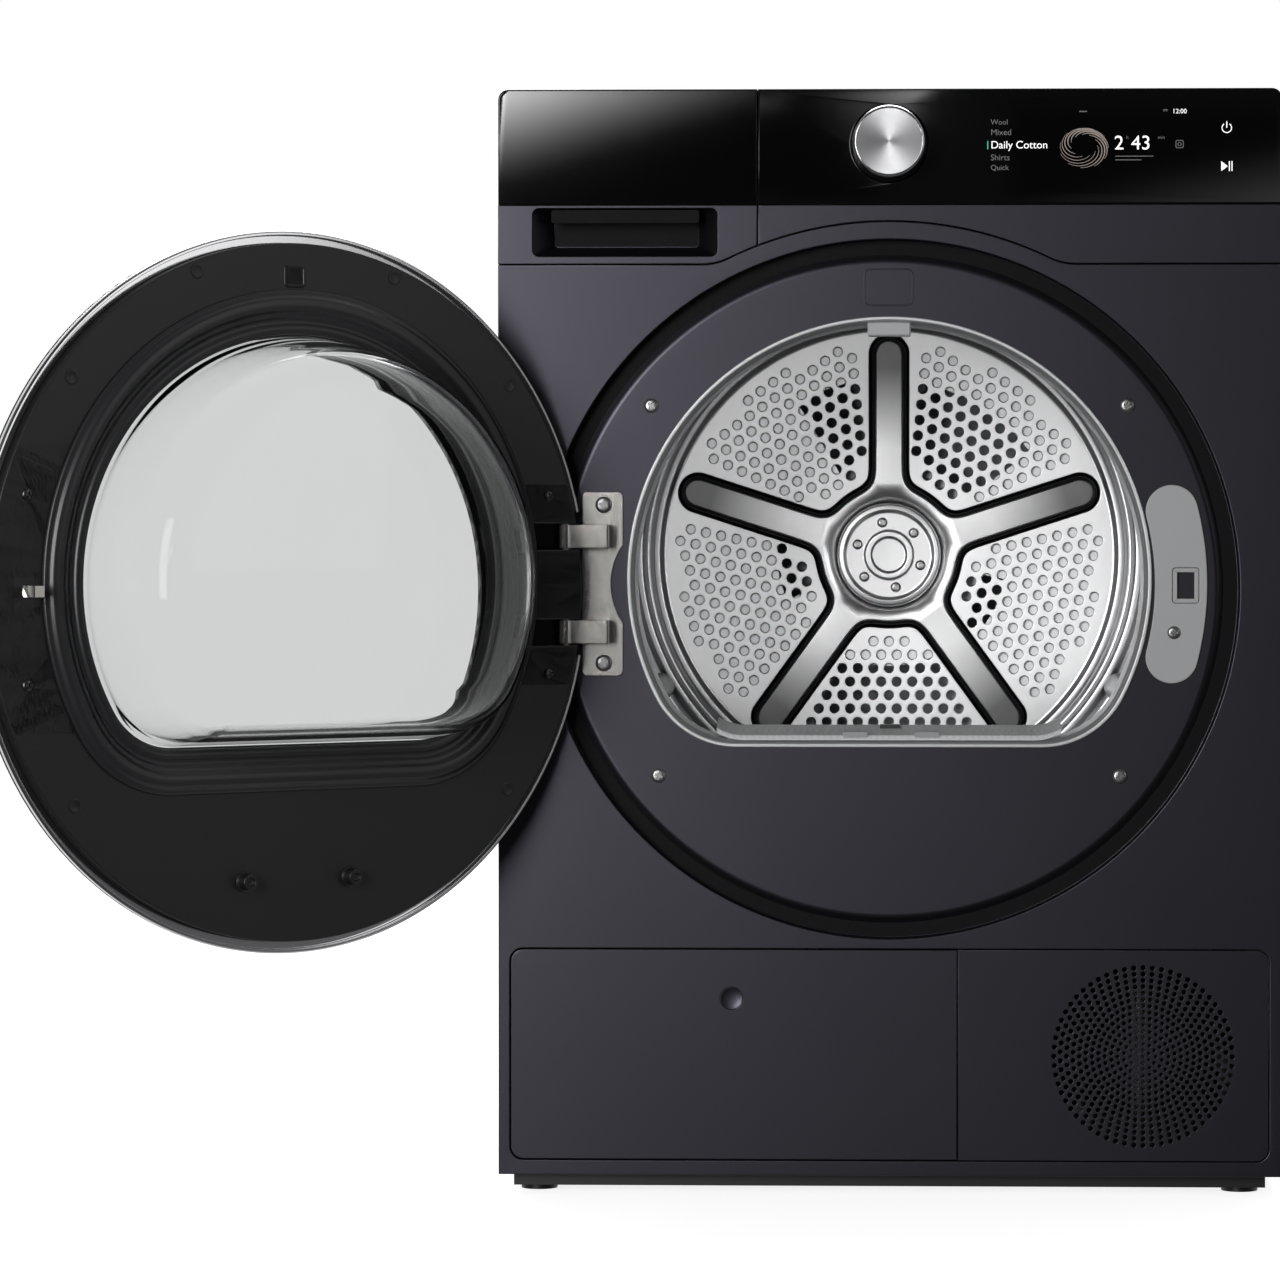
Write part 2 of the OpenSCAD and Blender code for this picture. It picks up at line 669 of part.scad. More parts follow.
// a finned block: end plates joined by the coil's core, with fins between them
module fin_block(y0, y1) {
    x0 = hx_x[0] + 6;
    x1 = hx_x[1] - 6;
    difference() {
        block([x0, y0, foot_h + 8], [x1, y1, 178]);
        for (x = [x0 + 6 : 9 : x1 - 8], s = [0, 1]) translate([x, y0, foot_h + 14])
            translate([0, s == 0 ? -1 : (y1 - y0) / 2 + 3, 0])
                cube([6, (y1 - y0) / 2 - 2, 150]);
    }
}

module evaporator() color(bright) fin_block(hx_y[0] + 45, hx_y[0] + 135);

module condenser() color(bright) fin_block(hx_y[0] + 150, hx_y[0] + 310);

module compressor() color(black) {
    translate([comp_c[0], comp_c[1], foot_h + 5]) rotate_extrude() polygon([[0, 0],
        [comp_r * 1.15, 0], [comp_r * 1.15, 8], [comp_r, 8], [comp_r, 135],
        [comp_r * 0.85, 152], [comp_r * 0.4, 160], [0, 160]]);
    translate([comp_c[0] - comp_r - 24, comp_c[1], foot_h + 35]) {
        cylinder(r = 20, h = 100);
        translate([18, -4, 40]) cube([12, 8, 14]);
    }
}

// a pipe along points, with a ball at each bend
module pipe(pts) {
    for (i = [0 : len(pts) - 2]) {
        v = pts[i + 1] - pts[i];
        translate(pts[i]) rotate([0, acos(v[2] / norm(v)), atan2(v[1], v[0])])
            cylinder(r = pipe_r, h = norm(v));
    }
    for (i = [1 : len(pts) - 2]) translate(pts[i]) sphere(pipe_r * 1.4);
}

module refrigerant_pipes() color([0.72, 0.42, 0.25]) {
    top = foot_h + 165;
    cx = comp_c[0];
    cy = comp_c[1];
    pipe([[cx, cy, top], [cx, cy, top + 18], [hx_x[1] + 12, cy, top + 18],
        [hx_x[1] + 12, cy + 40, 60], [hx_x[1], cy + 40, 60]]);
    pipe([[cx - comp_r - 24, cy, foot_h + 135], [cx - comp_r - 24, cy, 158],
        [cx - comp_r - 24, cy - 60, 158], [hx_x[1], cy - 60, 158]]);
}

// ---- drive ----

module drive_motor() color(steel) difference() {
    union() {
        rod(motor_x, motor_z, motor_r, motor_y, 90);
        rod(motor_x, motor_z, 22, motor_y - 12, 114);
        block([motor_x - 40, motor_y + 8, foot_h + 5], [motor_x + 40, motor_y + 82,
            motor_z - 34]);
        idler_post();
    }
    rod(motor_x, motor_z, 6 + run, motor_y - 30, 200);
}

module idler_post() {
    y0 = belt_y - 4;
    slab(motor_y - 8, 8) two_circles(pulley_c, 24, idler_c, 12);
    rod(idler_c[0], idler_c[1], 5, y0, motor_y - y0);
}

module idler_pulley() color(light) turned(idler_c[0], idler_c[1], [[5 + run, belt_y - 3],
    [idler_r, belt_y - 3], [idler_r, belt_y + belt_w + 1], [5 + run, belt_y + belt_w + 1]]);

module drive_shaft() color(steel) union() {
    rod(motor_x, motor_z, 6, belt_y - 5, fan_y + 46 - belt_y + 5);
    rod(motor_x, motor_z, pulley_r, belt_y - 3, belt_w + 6);
    rod(motor_x, motor_z, pulley_r + 3, belt_y - 5, 2);
}

// the belt's line round the drum and the pulley, at a distance g from both
module belt_line(g) {
    a = belt_ang;
    b = belt_b;
    polygon(concat(arc(drum_c, drum_r + g, a + b, a - b + 360, 160),
        arc(pulley_c, pulley_r + g, a - b, a + b, 24)));
}

module drive_belt() color(rubber) slab(belt_y, belt_w) difference() {
    belt_line(gap + belt_t);
    belt_line(gap);
}

module fan_impeller() color(black) difference() {
    union() {
        turned(motor_x, motor_z, [[6, fan_y + 4], [14, fan_y + 4], [14, fan_y + 38],
            [fan_r, fan_y + 42], [fan_r, fan_y + 45], [6, fan_y + 45]]);
        for (k = [0 : 23]) translate([motor_x, fan_y + 8, motor_z]) rotate([-90, 0, 0])
            rotate(k * 15) translate([fan_r - 17, -0.8, 0]) rotate(18) cube([15, 1.6, 35]);
        turned(motor_x, motor_z, [[fan_r - 18, fan_y + 5], [fan_r, fan_y + 5],
            [fan_r, fan_y + 8], [fan_r - 18, fan_y + 8]]);
    }
    rod(motor_x, motor_z, 6, fan_y, 60);
}

module fan_housing() color(black) {
    r = fan_r + 8;
    y1 = y_rear + 6;
    difference() {
        union() {
            rod(motor_x, motor_z, r + 3, fan_y, y1 - fan_y);
            block([motor_x, fan_y, motor_z], [motor_x + r + 3, y1, 196]);
            block([motor_x - 40, fan_y, foot_h + 5], [motor_x + 40, y1, motor_z - 30]);
            block([hx_x[0], hx_y[1], foot_h + 5], [motor_x - r + 20, fan_y - 2, 190]);
            block([hx_x[1], fan_y - 3, foot_h + 60], [motor_x, fan_y, 160]);
        }
        rod(motor_x, motor_z, r, fan_y + 3, y1 - fan_y - 6);
        block([motor_x + 6, fan_y + 3, motor_z], [motor_x + r, y1 - 3, 197]);
        rod(motor_x, motor_z, fan_r - 20, fan_y - 30, 40);
        block([hx_x[0] + 3, hx_y[1] - 1, foot_h + 8], [motor_x - r + 17, fan_y - 5, 187]);
        block([motor_x - r - 6, fan_y - 6, motor_z - 40], [motor_x - r + 16, fan_y - 1,
            motor_z + 40]);
    }
}

// ---- condensate tank ----

module tank_sleeve() color(galv) difference() {
    g = 2.4;
    block([tank_x[0] - g, y_f + fascia_d + 18, tank_z[0] - g], [tank_x[1] + g,
        y_f + fascia_d + 18 + tank_len, top_z]);
    block([tank_x[0] - gap, y_f, tank_z[0] - gap], [tank_x[1] + gap,
        y_f + fascia_d + 15 + tank_len, tank_z[1] + 2]);
}

module drawer_front() color(painted) difference() {
    union() {
        slab(y_f, fascia_d) difference() {
            fascia_shape(-half_w, split_x - seam / 2, shoulder_z + seam / 2, -1);
            translate([0, seam / 2]) panel_outline(panel_z);
        }
        slab(y_f + fascia_d, 22) handle_shape(2.5);
    }
    slab(y_f - 1, fascia_d + 19.5) handle_shape(0);
    block([-half_w + 4, y_f + 3, fascia_z + 4], [split_x - 4, y_f + fascia_d + 1, cab_h - 10]);
}

module handle_shape(g) {
    round_rect(pocket_x[0] - g, pocket_z[0] - g, pocket_x[1] + g, pocket_z[1] + g * 0.4, 6);
}

module water_tank() color([0.55, 0.6, 0.65]) union() {
    y0 = y_f + fascia_d + 23;
    y1 = y_f + fascia_d + 12 + tank_len;
    difference() {
        block([tank_x[0], y0, tank_z[0]], [tank_x[1], y1, tank_z[1]]);
        block([tank_x[0] + 3, y0 + 3, tank_z[0] + 3], [tank_x[1] - 3, y1 - 3, tank_z[1] - 3]);
        translate([tank_x[0] + 40, y0 + 40, tank_z[1] - 4]) cylinder(r = tank_mouth_r, h = 6);
    }
    block([tank_x[0] + 30, y_f + 3, fascia_z + 12], [tank_x[1] - 30, y0 + 1, tank_z[1] - 6]);
}

module mains_inlet() color(black) difference() {
    union() {
        rod(inlet[0], inlet[1], inlet_r, y_duct - 12, y_b - y_duct + 11);
        block([inlet[0] - 25, y_duct - 30, inlet[1] - 20], [inlet[0] + 25, y_duct - 2,
            inlet[1] + 20]);
    }
    rod(inlet[0], inlet[1], inlet_bore_r, y_duct - 28, 50);
}

// ---- door, drawn closed and turned open ----

module door_inner_panel() color(black) at_open_door() difference() {
    r = door_r - 9;
    union() {
        rod(0, door_z, r, y_in - 3, 3);
        turned(0, door_z, [[r - 3, y_in - 11.4], [r, y_in - 11.4], [r, y_in - 3],
            [r - 3, y_in - 3]]);
    }
    slab(y_in - 4, 5) bowl_shape(0.4);
    slab(y_in - 1.6, 2) {
        side_cover(1, 102.5, seam / 2);
        side_cover(-1, 76, seam / 2);
    }
    for (p = plug_spots) rod(p[0], p[1], p[2] + 0.2, y_in - 1.6, 2);
    slab(y_in - 1.6, 2) square_plug(0.2);
    slab(y_in - 4, 5) hook_window();
    arm_slots();
    knuckle_room();
    for (p = cover_screws) rod(p[0], p[1], 2, y_in - 12, 14);
}

// the covers let into the inner panel beside the gasket; s is +1 at the lock side
module side_cover(s, h, g) {
    difference() {
        intersection() {
            translate([0, door_z]) circle(door_r - 9.5 + g * 2);
            translate([s > 0 ? 120 : -400, hw_z - h - g]) square([280, 2 * h + 2 * g]);
        }
        d_shape(seal_r + 1 - g, port_flat_z - 14 + g, port_corner + 14 - g);
    }
}

module square_plug(g) {
    round_rect(-7 - g, door_z + 223 - g, 11 + g, door_z + 240 + g, 3);
}

// the slot that the latch hook stands in
module hook_window() {
    round_rect(latch_x - 7, hw_z - 13, latch_x + 9, hw_z + 9, 1);
}

module door_plugs() color(rubber) at_open_door() {
    for (p = plug_spots) rod(p[0], p[1], p[2], y_in - 1.6, 1.6);
    slab(y_in - 1.6, 1.6 + 0.8) square_plug(0);
    for (p = stop_spots) turned(p[0], p[1], [[0, y_in], [p[2] + 1.5, y_in],
        [p[2] + 1.5, y_in + 1], [p[2], y_in + 1.5], [p[2] - 0.4, y_in + stop_out],
        [0, y_in + stop_out]]);
}

module lock_side_cover() color(black) at_open_door() difference() {
    slab(y_in - 1.6, 1.6) side_cover(1, 102.5, 0);
    slab(y_in - 4, 5) hook_window();
    for (p = cover_screws) rod(p[0], p[1], 2.2, y_in - 4, 6);
}

module hinge_side_cover() color(black) at_open_door() difference() {
    slab(y_in - 1.6, 1.6) side_cover(-1, 76, 0);
    arm_slots();
    for (p = cover_screws) rod(p[0], p[1], 2.2, y_in - 4, 6);
}

module door_ring() color(bright) at_open_door() {
    r = door_r;
    difference() {
        turned(0, door_z, [[r - 9, y_in - 10.5], [r - 9, y_in - 11.5], [r - 1.2, y_in - 11.5],
            [r, y_in - 10.3], [r, y_in - 7], [r - 1.2, y_in - 6], [r - 3.2, y_in - 6],
            [r - 3.2, y_in - 10.5]]);
        knuckle_room();
    }
}

module door_cover() color(gloss) at_open_door() difference() {
    r = door_r;
    t = door_t;
    k = bowl_r + 8;
    turned(0, door_z, [[k, y_in - t], [k + 20, y_in - t], [r - 30, y_in - 23.5],
        [r - 21, y_in - 21], [r - 13, y_in - 18], [r, y_in - 12.6], [r, y_in - 11.5],
        [r - 9, y_in - 11.5], [r - 13, y_in - 15], [r - 21, y_in - 18.2],
        [r - 31, y_in - 20.6], [k + 19, y_in - t + 3], [k + 2, y_in - t + 3],
        [k + 2, y_in - t + 9], [k - 2, y_in - t + 9], [k - 2, y_in - t + 4],
        [k, y_in - t + 4]]);
    knuckle_room();
}

module door_glass() color(gloss) at_open_door()
    turned(0, door_z, [[0, y_in - door_t], [bowl_r + 8 - gap, y_in - door_t],
        [bowl_r + 8 - gap, y_in - door_t + 4], [0, y_in - door_t + 4]]);

// the bowl: its wall tapers and its corners round off towards the glass face
module bowl_solid(g, depth) {
    hull() {
        slab(y_in - 3.5, 1) bowl_shape(1 + g);
        slab(y_in + depth * 0.72, 1) bowl_shape(11 + g);
        slab(y_in + depth * 0.9, 1) bowl_shape(20 + g);
        slab(y_in + depth - 1, 1) bowl_shape(38 + g);
    }
}

module door_bowl() color([0.85, 0.9, 0.92, 0.4]) at_open_door() difference() {
    union() {
        slab(y_in - 7, 4) bowl_shape(-8);
        bowl_solid(0, bowl_d);
    }
    translate([0, -0.01, 0]) bowl_solid(5, bowl_d - 5);
    slab(y_in - 8, 8) bowl_shape(8);
}

module door_gasket() color(rubber) at_open_door() difference() {
    g = seal_r - bowl_r;
    union() {
        slab(y_in, 4) bowl_shape(-g);
        slab(y_in + 4, seal_out - 4) difference() {
            bowl_shape(-g + 5);
            bowl_shape(-g + 16);
        }
    }
    slab(y_in - 1, 12) bowl_shape(0.6);
    slab(y_in + 1.6, 3) difference() {
        bowl_shape(-g + 20);
        bowl_shape(-g + 25);
    }
}

module hinge_knuckles() color(steel) at_open_door() difference() {
    union() for (z = arm_z, s = [-1, 1]) {
        zc = z + s * (arm_w / 2 + 1.3 + 3);
        translate([hinge_x, hinge_y, zc - 3]) cylinder(r = 5, h = 6);
        block([hinge_x, hinge_y - 3, zc - 3], [hinge_x + 24, y_in - 3, zc + 3]);
    }
    for (z = arm_z) translate([hinge_x, hinge_y, z - 20]) cylinder(r = pin_r, h = 40);
}

module hinge_pins() color(bright) at_open_door() for (z = arm_z)
    translate([hinge_x, hinge_y, z - arm_w / 2 - 7]) cylinder(r = pin_r, h = arm_w + 14);

module latch_hook() color(bright) at_open_door() {
    block([latch_x - 10, y_in - 5, hw_z - 16], [latch_x + 12, y_in - 3, hw_z + 12]);
    block([latch_x - 2.5, y_in - 3, hw_z - 5], [latch_x + 2, y_plate + 8, hw_z + 3]);
    block([latch_x - 5.5, y_plate + 4, hw_z - 5], [latch_x - 2.5, y_plate + 8, hw_z + 3]);
}

module door_screws() color(steel) at_open_door()
    for (p = cover_screws) translate([p[0], y_in, p[1]]) rotate([0, 0, 180])
        screw_y(0, 0, 0, 4.5, 9);

// ---- drum ----

module drum_shell() color(steel) turned(0, drum_z, [[lip_r, drum_y0], [drum_r - 3, drum_y0],
    [drum_r, drum_y0 + 3], [drum_r, drum_y1], [star_r + 42, drum_y1],
    [star_r + 42, drum_y1 - drum_t], [drum_r - drum_t, drum_y1 - drum_t],
    [drum_r - drum_t, drum_y0 + 3.4], [drum_r - 3.4, drum_y0 + drum_t],
    [lip_r, drum_y0 + drum_t]]);

// a spoke's outline with a round outer end
module spoke_shape(a, w) {
    translate([0, drum_z]) rotate(a) {
        translate([hub_r - 4, -w / 2]) square([star_r - hub_r + 4 - w / 2, w]);
        translate([star_r - w / 2, 0]) circle(w / 2);
    }
}

module star_plate() color(steel) difference() {
    union() {
        slab(star_y, drum_t) difference() {
            translate([0, drum_z]) circle(drum_r - drum_t - 0.2, $fn = 144);
            for (k = [0 : 4]) translate([0, drum_z]) rotate(90 + 36 + 72 * k)
                for (p = perf_holes) translate(p) circle(perf_r, $fn = 16);
        }
        for (k = [0 : 4]) slab(star_y - 5, 5) spoke_shape(90 + 72 * k, spoke_w);
        turned(0, drum_z, [[star_r + 6, star_y], [star_r + 10, star_y - 4],
            [star_r + 20, star_y - 4], [star_r + 24, star_y]]);
    }
    rod(0, drum_z, hub_r - 6, star_y - 8, 12);
}

module drum_hub() color(bright) {
    difference() {
        turned(0, drum_z, [[0, star_y - 5.5], [15, star_y - 5.5], [15, star_y - 8.5],
            [21, star_y - 8.5], [21, star_y - 6.5], [38, star_y - 6.5], [40, star_y - 9],
            [hub_r, star_y - 7], [hub_r, star_y - 5], [hub_r - 6, star_y - 5],
            [hub_r - 6, star_y + 1], [shaft_r + 6, star_y + 1], [shaft_r + 6, star_y + 5],
            [shaft_r, star_y + 7], [shaft_r, y_rear + 30], [0, y_rear + 30]]);
        for (p = hub_screws) rod(p[0], p[1], 2.1, star_y - 9, 8);
    }
    for (p = hub_screws) rod(p[0], p[1], 4.6, star_y - 9.5, 3);
}

module drum_lifters() color(light) for (a = [90, 210, 330]) translate([0, 0, drum_z])
    rotate([0, 90 - a, 0]) intersection() {
        slab(drum_y0 + 8, star_y - drum_y0 - 9) polygon([[-36, drum_r - 8], [-12, drum_r - 62],
            [-7, drum_r - 70], [7, drum_r - 70], [12, drum_r - 62], [36, drum_r - 8],
            [36, drum_r], [-36, drum_r]]);
        rod(0, 0, drum_r - drum_t - 0.1, y_f, cab_d);
    }

module roller(s) {
    x = s * roller_d * sin(roller_a);
    z = drum_z - roller_d * cos(roller_a);
    turned(x, z, [[5 + run, drum_y0 + 5], [roller_r, drum_y0 + 5], [roller_r, drum_y0 + 19],
        [5 + run, drum_y0 + 19]]);
}

module roller_left() color(rubber) roller(-1);

module roller_right() color(rubber) roller(1);

// ---- service flap ----

module service_flap() color(painted) difference() {
    x0 = -flap_w;
    x1 = flap_split - seam / 2;
    union() {
        difference() {
            slab(y_f, 3) lower_shape(x0, x1);
            block([x0 - 1, y_f - 1, flap_z - 1], [x1 + 1, y_f + 4, flap_pin_z]);
            block([x0 - 1, y_f - 1, flap_z - 1], [x0 + 9, y_f + 4, flap_pin_z + 2.5]);
        }
        translate([x0 + 9, flap_y, flap_pin_z]) rotate([0, 90, 0])
            cylinder(r = 1.5, h = x1 - x0 - 9);
        translate([x0 - 2, flap_y, flap_pin_z]) rotate([0, 90, 0])
            cylinder(r = 1, h = x1 - x0 + 5.5);
        for (x = [x0 + 14, x1 - 24]) block([x, y_f + 3, flap_z + 6], [x + 10, y_f + 5,
            flap_top - 10]);
    }
    turned(-foot_x + 149.6, flap_z + 123.5, [[0, y_f + 1.2], [7, y_f + 0.8],
        [8.6, y_f - 0.1], [8.6, y_f - 1], [0, y_f - 1]]);
}

base_tray();
feet();
side_panel_left();
side_panel_right();
back_panel();
duct_cover();
rear_bulkhead();
rear_bearing();
worktop();
front_panel();
trim_band();
control_fascia();
display_module();
control_board();
porthole_collar();
front_bulkhead();
felt_seals();
latch_plate();
door_lock();
cabinet_screws();
hinge_plate();
filter_duct();
lint_filter();
grille_panel();
exchanger_housing();
evaporator();
condenser();
compressor();
refrigerant_pipes();
drive_motor();
fan_housing();
drive_belt();
tank_sleeve();
mains_inlet();
door_inner_panel();
door_ring();
door_cover();
door_glass();
door_bowl();
door_gasket();
lock_side_cover();
hinge_side_cover();
hinge_knuckles();
hinge_pins();
latch_hook();
door_plugs();
door_screws();
drum_shell();
star_plate();
drum_hub();
drum_lifters();
drive_shaft();
fan_impeller();
idler_pulley();
roller_left();
roller_right();
knob();
drawer_front();
water_tank();
service_flap();
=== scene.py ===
"""A heat-pump clothes dryer with its round door open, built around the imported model."""
import json
import math

import bmesh
import bpy
import numpy as np
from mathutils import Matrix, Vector
from mathutils.geometry import delaunay_2d_cdt


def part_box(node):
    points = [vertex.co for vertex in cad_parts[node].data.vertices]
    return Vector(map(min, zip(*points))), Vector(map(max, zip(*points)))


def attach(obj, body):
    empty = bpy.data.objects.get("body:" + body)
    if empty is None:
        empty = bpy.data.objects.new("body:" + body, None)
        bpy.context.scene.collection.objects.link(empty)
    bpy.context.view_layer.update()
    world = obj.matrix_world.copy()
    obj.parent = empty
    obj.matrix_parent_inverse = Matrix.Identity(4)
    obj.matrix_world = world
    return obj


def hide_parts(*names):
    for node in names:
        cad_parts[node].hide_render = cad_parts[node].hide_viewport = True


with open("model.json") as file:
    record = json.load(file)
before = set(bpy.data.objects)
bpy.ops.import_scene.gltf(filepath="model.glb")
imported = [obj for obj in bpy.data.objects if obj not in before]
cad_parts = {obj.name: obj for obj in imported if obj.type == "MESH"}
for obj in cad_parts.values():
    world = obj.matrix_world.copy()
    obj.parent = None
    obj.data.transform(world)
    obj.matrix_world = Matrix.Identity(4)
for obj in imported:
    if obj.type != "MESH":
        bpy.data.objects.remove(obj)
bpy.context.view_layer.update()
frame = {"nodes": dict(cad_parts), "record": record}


# ---- Room, lights and camera ----
# A white studio with a pale floor. Soft lights stand left, right, above and behind; three more
# reach only the drum through its opening, and two slanted cards show only in the fascia.

def emission(name, colour, strength):
    """A plain glowing material for a card in the room."""
    mat = bpy.data.materials.new(name)
    mat.use_nodes = True
    nodes, links = mat.node_tree.nodes, mat.node_tree.links
    nodes.clear()
    out = nodes.new("ShaderNodeOutputMaterial")
    glow = nodes.new("ShaderNodeEmission")
    glow.inputs["Color"].default_value = (*colour, 1.0)
    glow.inputs["Strength"].default_value = strength
    links.new(glow.outputs[0], out.inputs["Surface"])
    return mat


def room_card(name, corners, mat):
    """A flat four-cornered card in metres that isn't part of the object."""
    mesh = bpy.data.meshes.new(name)
    mesh.from_pydata(corners, [], [(0, 1, 2, 3)])
    mesh.materials.append(mat)
    card = bpy.data.objects.new(name, mesh)
    bpy.context.scene.collection.objects.link(card)
    return card


floor_paint = bpy.data.materials.new("studio_floor")
floor_paint.use_nodes = True
floor_shader = floor_paint.node_tree.nodes["Principled BSDF"]
floor_shader.inputs["Base Color"].default_value = (0.45, 0.45, 0.45, 1.0)
floor_shader.inputs["Roughness"].default_value = 0.8
floor_shader.inputs["Emission Color"].default_value = (1.0, 1.0, 1.0, 1.0)
floor_shader.inputs["Emission Strength"].default_value = 0.84
FLOOR = 9.0
floor = room_card("floor", [(-FLOOR, -FLOOR, 0), (FLOOR, -FLOOR, 0), (FLOOR, FLOOR, 0),
                            (-FLOOR, FLOOR, 0)], floor_paint)
floor.visible_glossy = False
floor.visible_diffuse = False
floor.visible_transmission = False

world = bpy.data.worlds.new("studio")
bpy.context.scene.world = world
world.use_nodes = True
wn, wl = world.node_tree.nodes, world.node_tree.links
direction = wn.new("ShaderNodeTexCoord")
split = wn.new("ShaderNodeSeparateXYZ")
ramp = wn.new("ShaderNodeValToRGB")
ramp.color_ramp.elements[0].position = 0.30
ramp.color_ramp.elements[0].color = (0.045, 0.045, 0.048, 1.0)
ramp.color_ramp.elements[1].position = 0.80
ramp.color_ramp.elements[1].color = (1.0, 1.0, 1.0, 1.0)
shift = wn.new("ShaderNodeMath")
shift.operation = "MULTIPLY_ADD"
shift.inputs[1].default_value = 0.5
shift.inputs[2].default_value = 0.5
wl.new(direction.outputs["Generated"], split.inputs[0])
wl.new(split.outputs["Y"], shift.inputs[0])
wl.new(shift.outputs[0], ramp.inputs[0])
wl.new(ramp.outputs[0], wn["Background"].inputs["Color"])
ray = wn.new("ShaderNodeLightPath")
level = wn.new("ShaderNodeMath")
level.operation = "MULTIPLY_ADD"
level.inputs[1].default_value = 0.14
level.inputs[2].default_value = 0.86
wl.new(ray.outputs["Is Camera Ray"], level.inputs[0])
wl.new(level.outputs[0], wn["Background"].inputs["Strength"])


def soft_light(name, place, aim, width, height, power):
    """An area light at place that faces aim."""
    data = bpy.data.lights.new(name, "AREA")
    data.shape = "RECTANGLE"
    data.size, data.size_y, data.energy = width, height, power
    lamp = bpy.data.objects.new(name, data)
    bpy.context.scene.collection.objects.link(lamp)
    lamp.location = place
    way = np.array(aim, float) - np.array(place, float)
    flat = math.hypot(way[0], way[1])
    lamp.rotation_euler = (math.atan2(flat, -way[2]), 0.0, math.atan2(way[1], way[0]) - math.pi / 2)
    lamp.visible_camera = False
    lamp.visible_transmission = False
    return lamp


soft_light("key_left", (-1.75, -4.1, 1.05), (-0.1, -0.2, 0.5), 1.4, 2.0, 106)
soft_light("fill_right", (3.2, -2.2, 1.4), (0.1, -0.2, 0.4), 1.2, 2.0, 8)
soft_light("top_back", (0.0, 1.6, 2.6), (0.0, 0.0, 0.7), 2.4, 1.2, 45)
drum_reach = bpy.data.collections.new("drum_light_reach")
drum_shade = bpy.data.collections.new("drum_light_shade")
for lamp in (soft_light("into_drum", (0.0, -4.6, 0.45), (0.0, 0.2, 0.486), 0.42, 0.38, 1.3),
             soft_light("drum_left", (-1.35, -4.2, 1.1), (0.0, 0.2, 0.486), 0.9, 0.9, 31),
             soft_light("drum_right", (1.45, -4.2, 0.8), (0.0, 0.2, 0.486), 0.8, 0.8, 27)):
    lamp.light_linking.receiver_collection = drum_reach
    lamp.light_linking.blocker_collection = drum_shade
soft_light("back_fill", (-1.5, 3.4, 1.6), (0.0, 0.3, 0.4), 2.2, 1.6, 70)


def fading_card(name, corners, fades):
    """A card seen only in reflections. Its glow is the sum of fades; each has a peak, a power
    and a slope (a, b, c), and equals peak * max(0, a + b x + c z) ** power."""
    glow = emission(name + "_glow", (1.0, 1.0, 1.0), 1.0)
    gn, gl = glow.node_tree.nodes, glow.node_tree.links
    place = gn.new("ShaderNodeTexCoord")
    total = None
    for peak, power, slope in fades:
        lean = gn.new("ShaderNodeVectorMath")
        lean.operation = "DOT_PRODUCT"
        lean.inputs[1].default_value = (slope[1], 0.0, slope[2])
        gl.new(place.outputs["Object"], lean.inputs[0])
        value = lean.outputs["Value"]
        for operation, amount in (("ADD", slope[0]), ("MAXIMUM", 0.0), ("POWER", power),
                                  ("MULTIPLY", peak)):
            step = gn.new("ShaderNodeMath")
            step.operation = operation
            step.inputs[1].default_value = amount
            gl.new(value, step.inputs[0])
            value = step.outputs[0]
        if total is not None:
            both = gn.new("ShaderNodeMath")
            gl.new(total, both.inputs[0])
            gl.new(value, both.inputs[1])
            value = both.outputs[0]
        total = value
    gl.new(total, gn["Emission"].inputs["Strength"])
    card = room_card(name, corners, glow)
    card.visible_camera = False
    card.visible_diffuse = False
    card.visible_shadow = False


fading_card("fascia_card", [(-0.80, -5.0, 1.02), (-0.03, -5.0, 1.02), (0.06, -5.0, 1.27),
                            (-0.80, -5.0, 1.27)],
            [(16.0, 2.2, (-6.85, -1.95, 5.3)), (7.0, 2.0, (-5.0, 5.0, 4.6))])
fading_card("fascia_card_low", [(0.20, -5.0, 1.02), (0.75, -5.0, 1.02), (0.75, -5.0, 1.20),
                                (0.20, -5.0, 1.20)], [(1.7, 1.5, (5.9, 1.3, -5.9))])

VIEW_PLACE = (0.0, -4.2, 0.52)
YAW_LEFT, PITCH_DOWN = 1.788, 0.83
camera_data = bpy.data.cameras.new("camera")
camera_data.lens = 143.6
camera_data.sensor_width = 36.0
camera_data.shift_x = -0.07
camera_data.shift_y = -0.04
camera = bpy.data.objects.new("camera", camera_data)
camera.location = VIEW_PLACE
camera.rotation_euler = (math.radians(90 - PITCH_DOWN), 0.0, math.radians(YAW_LEFT))
bpy.context.scene.collection.objects.link(camera)
bpy.context.scene.camera = camera
bpy.context.scene.view_settings.view_transform = "Standard"


# ---- Painted steel shell ----
# Two side panels, the worktop and every painted front piece share one anthracite coat: a dark
# blue-grey satin lacquer with fine metal flake, baked on sheet steel.

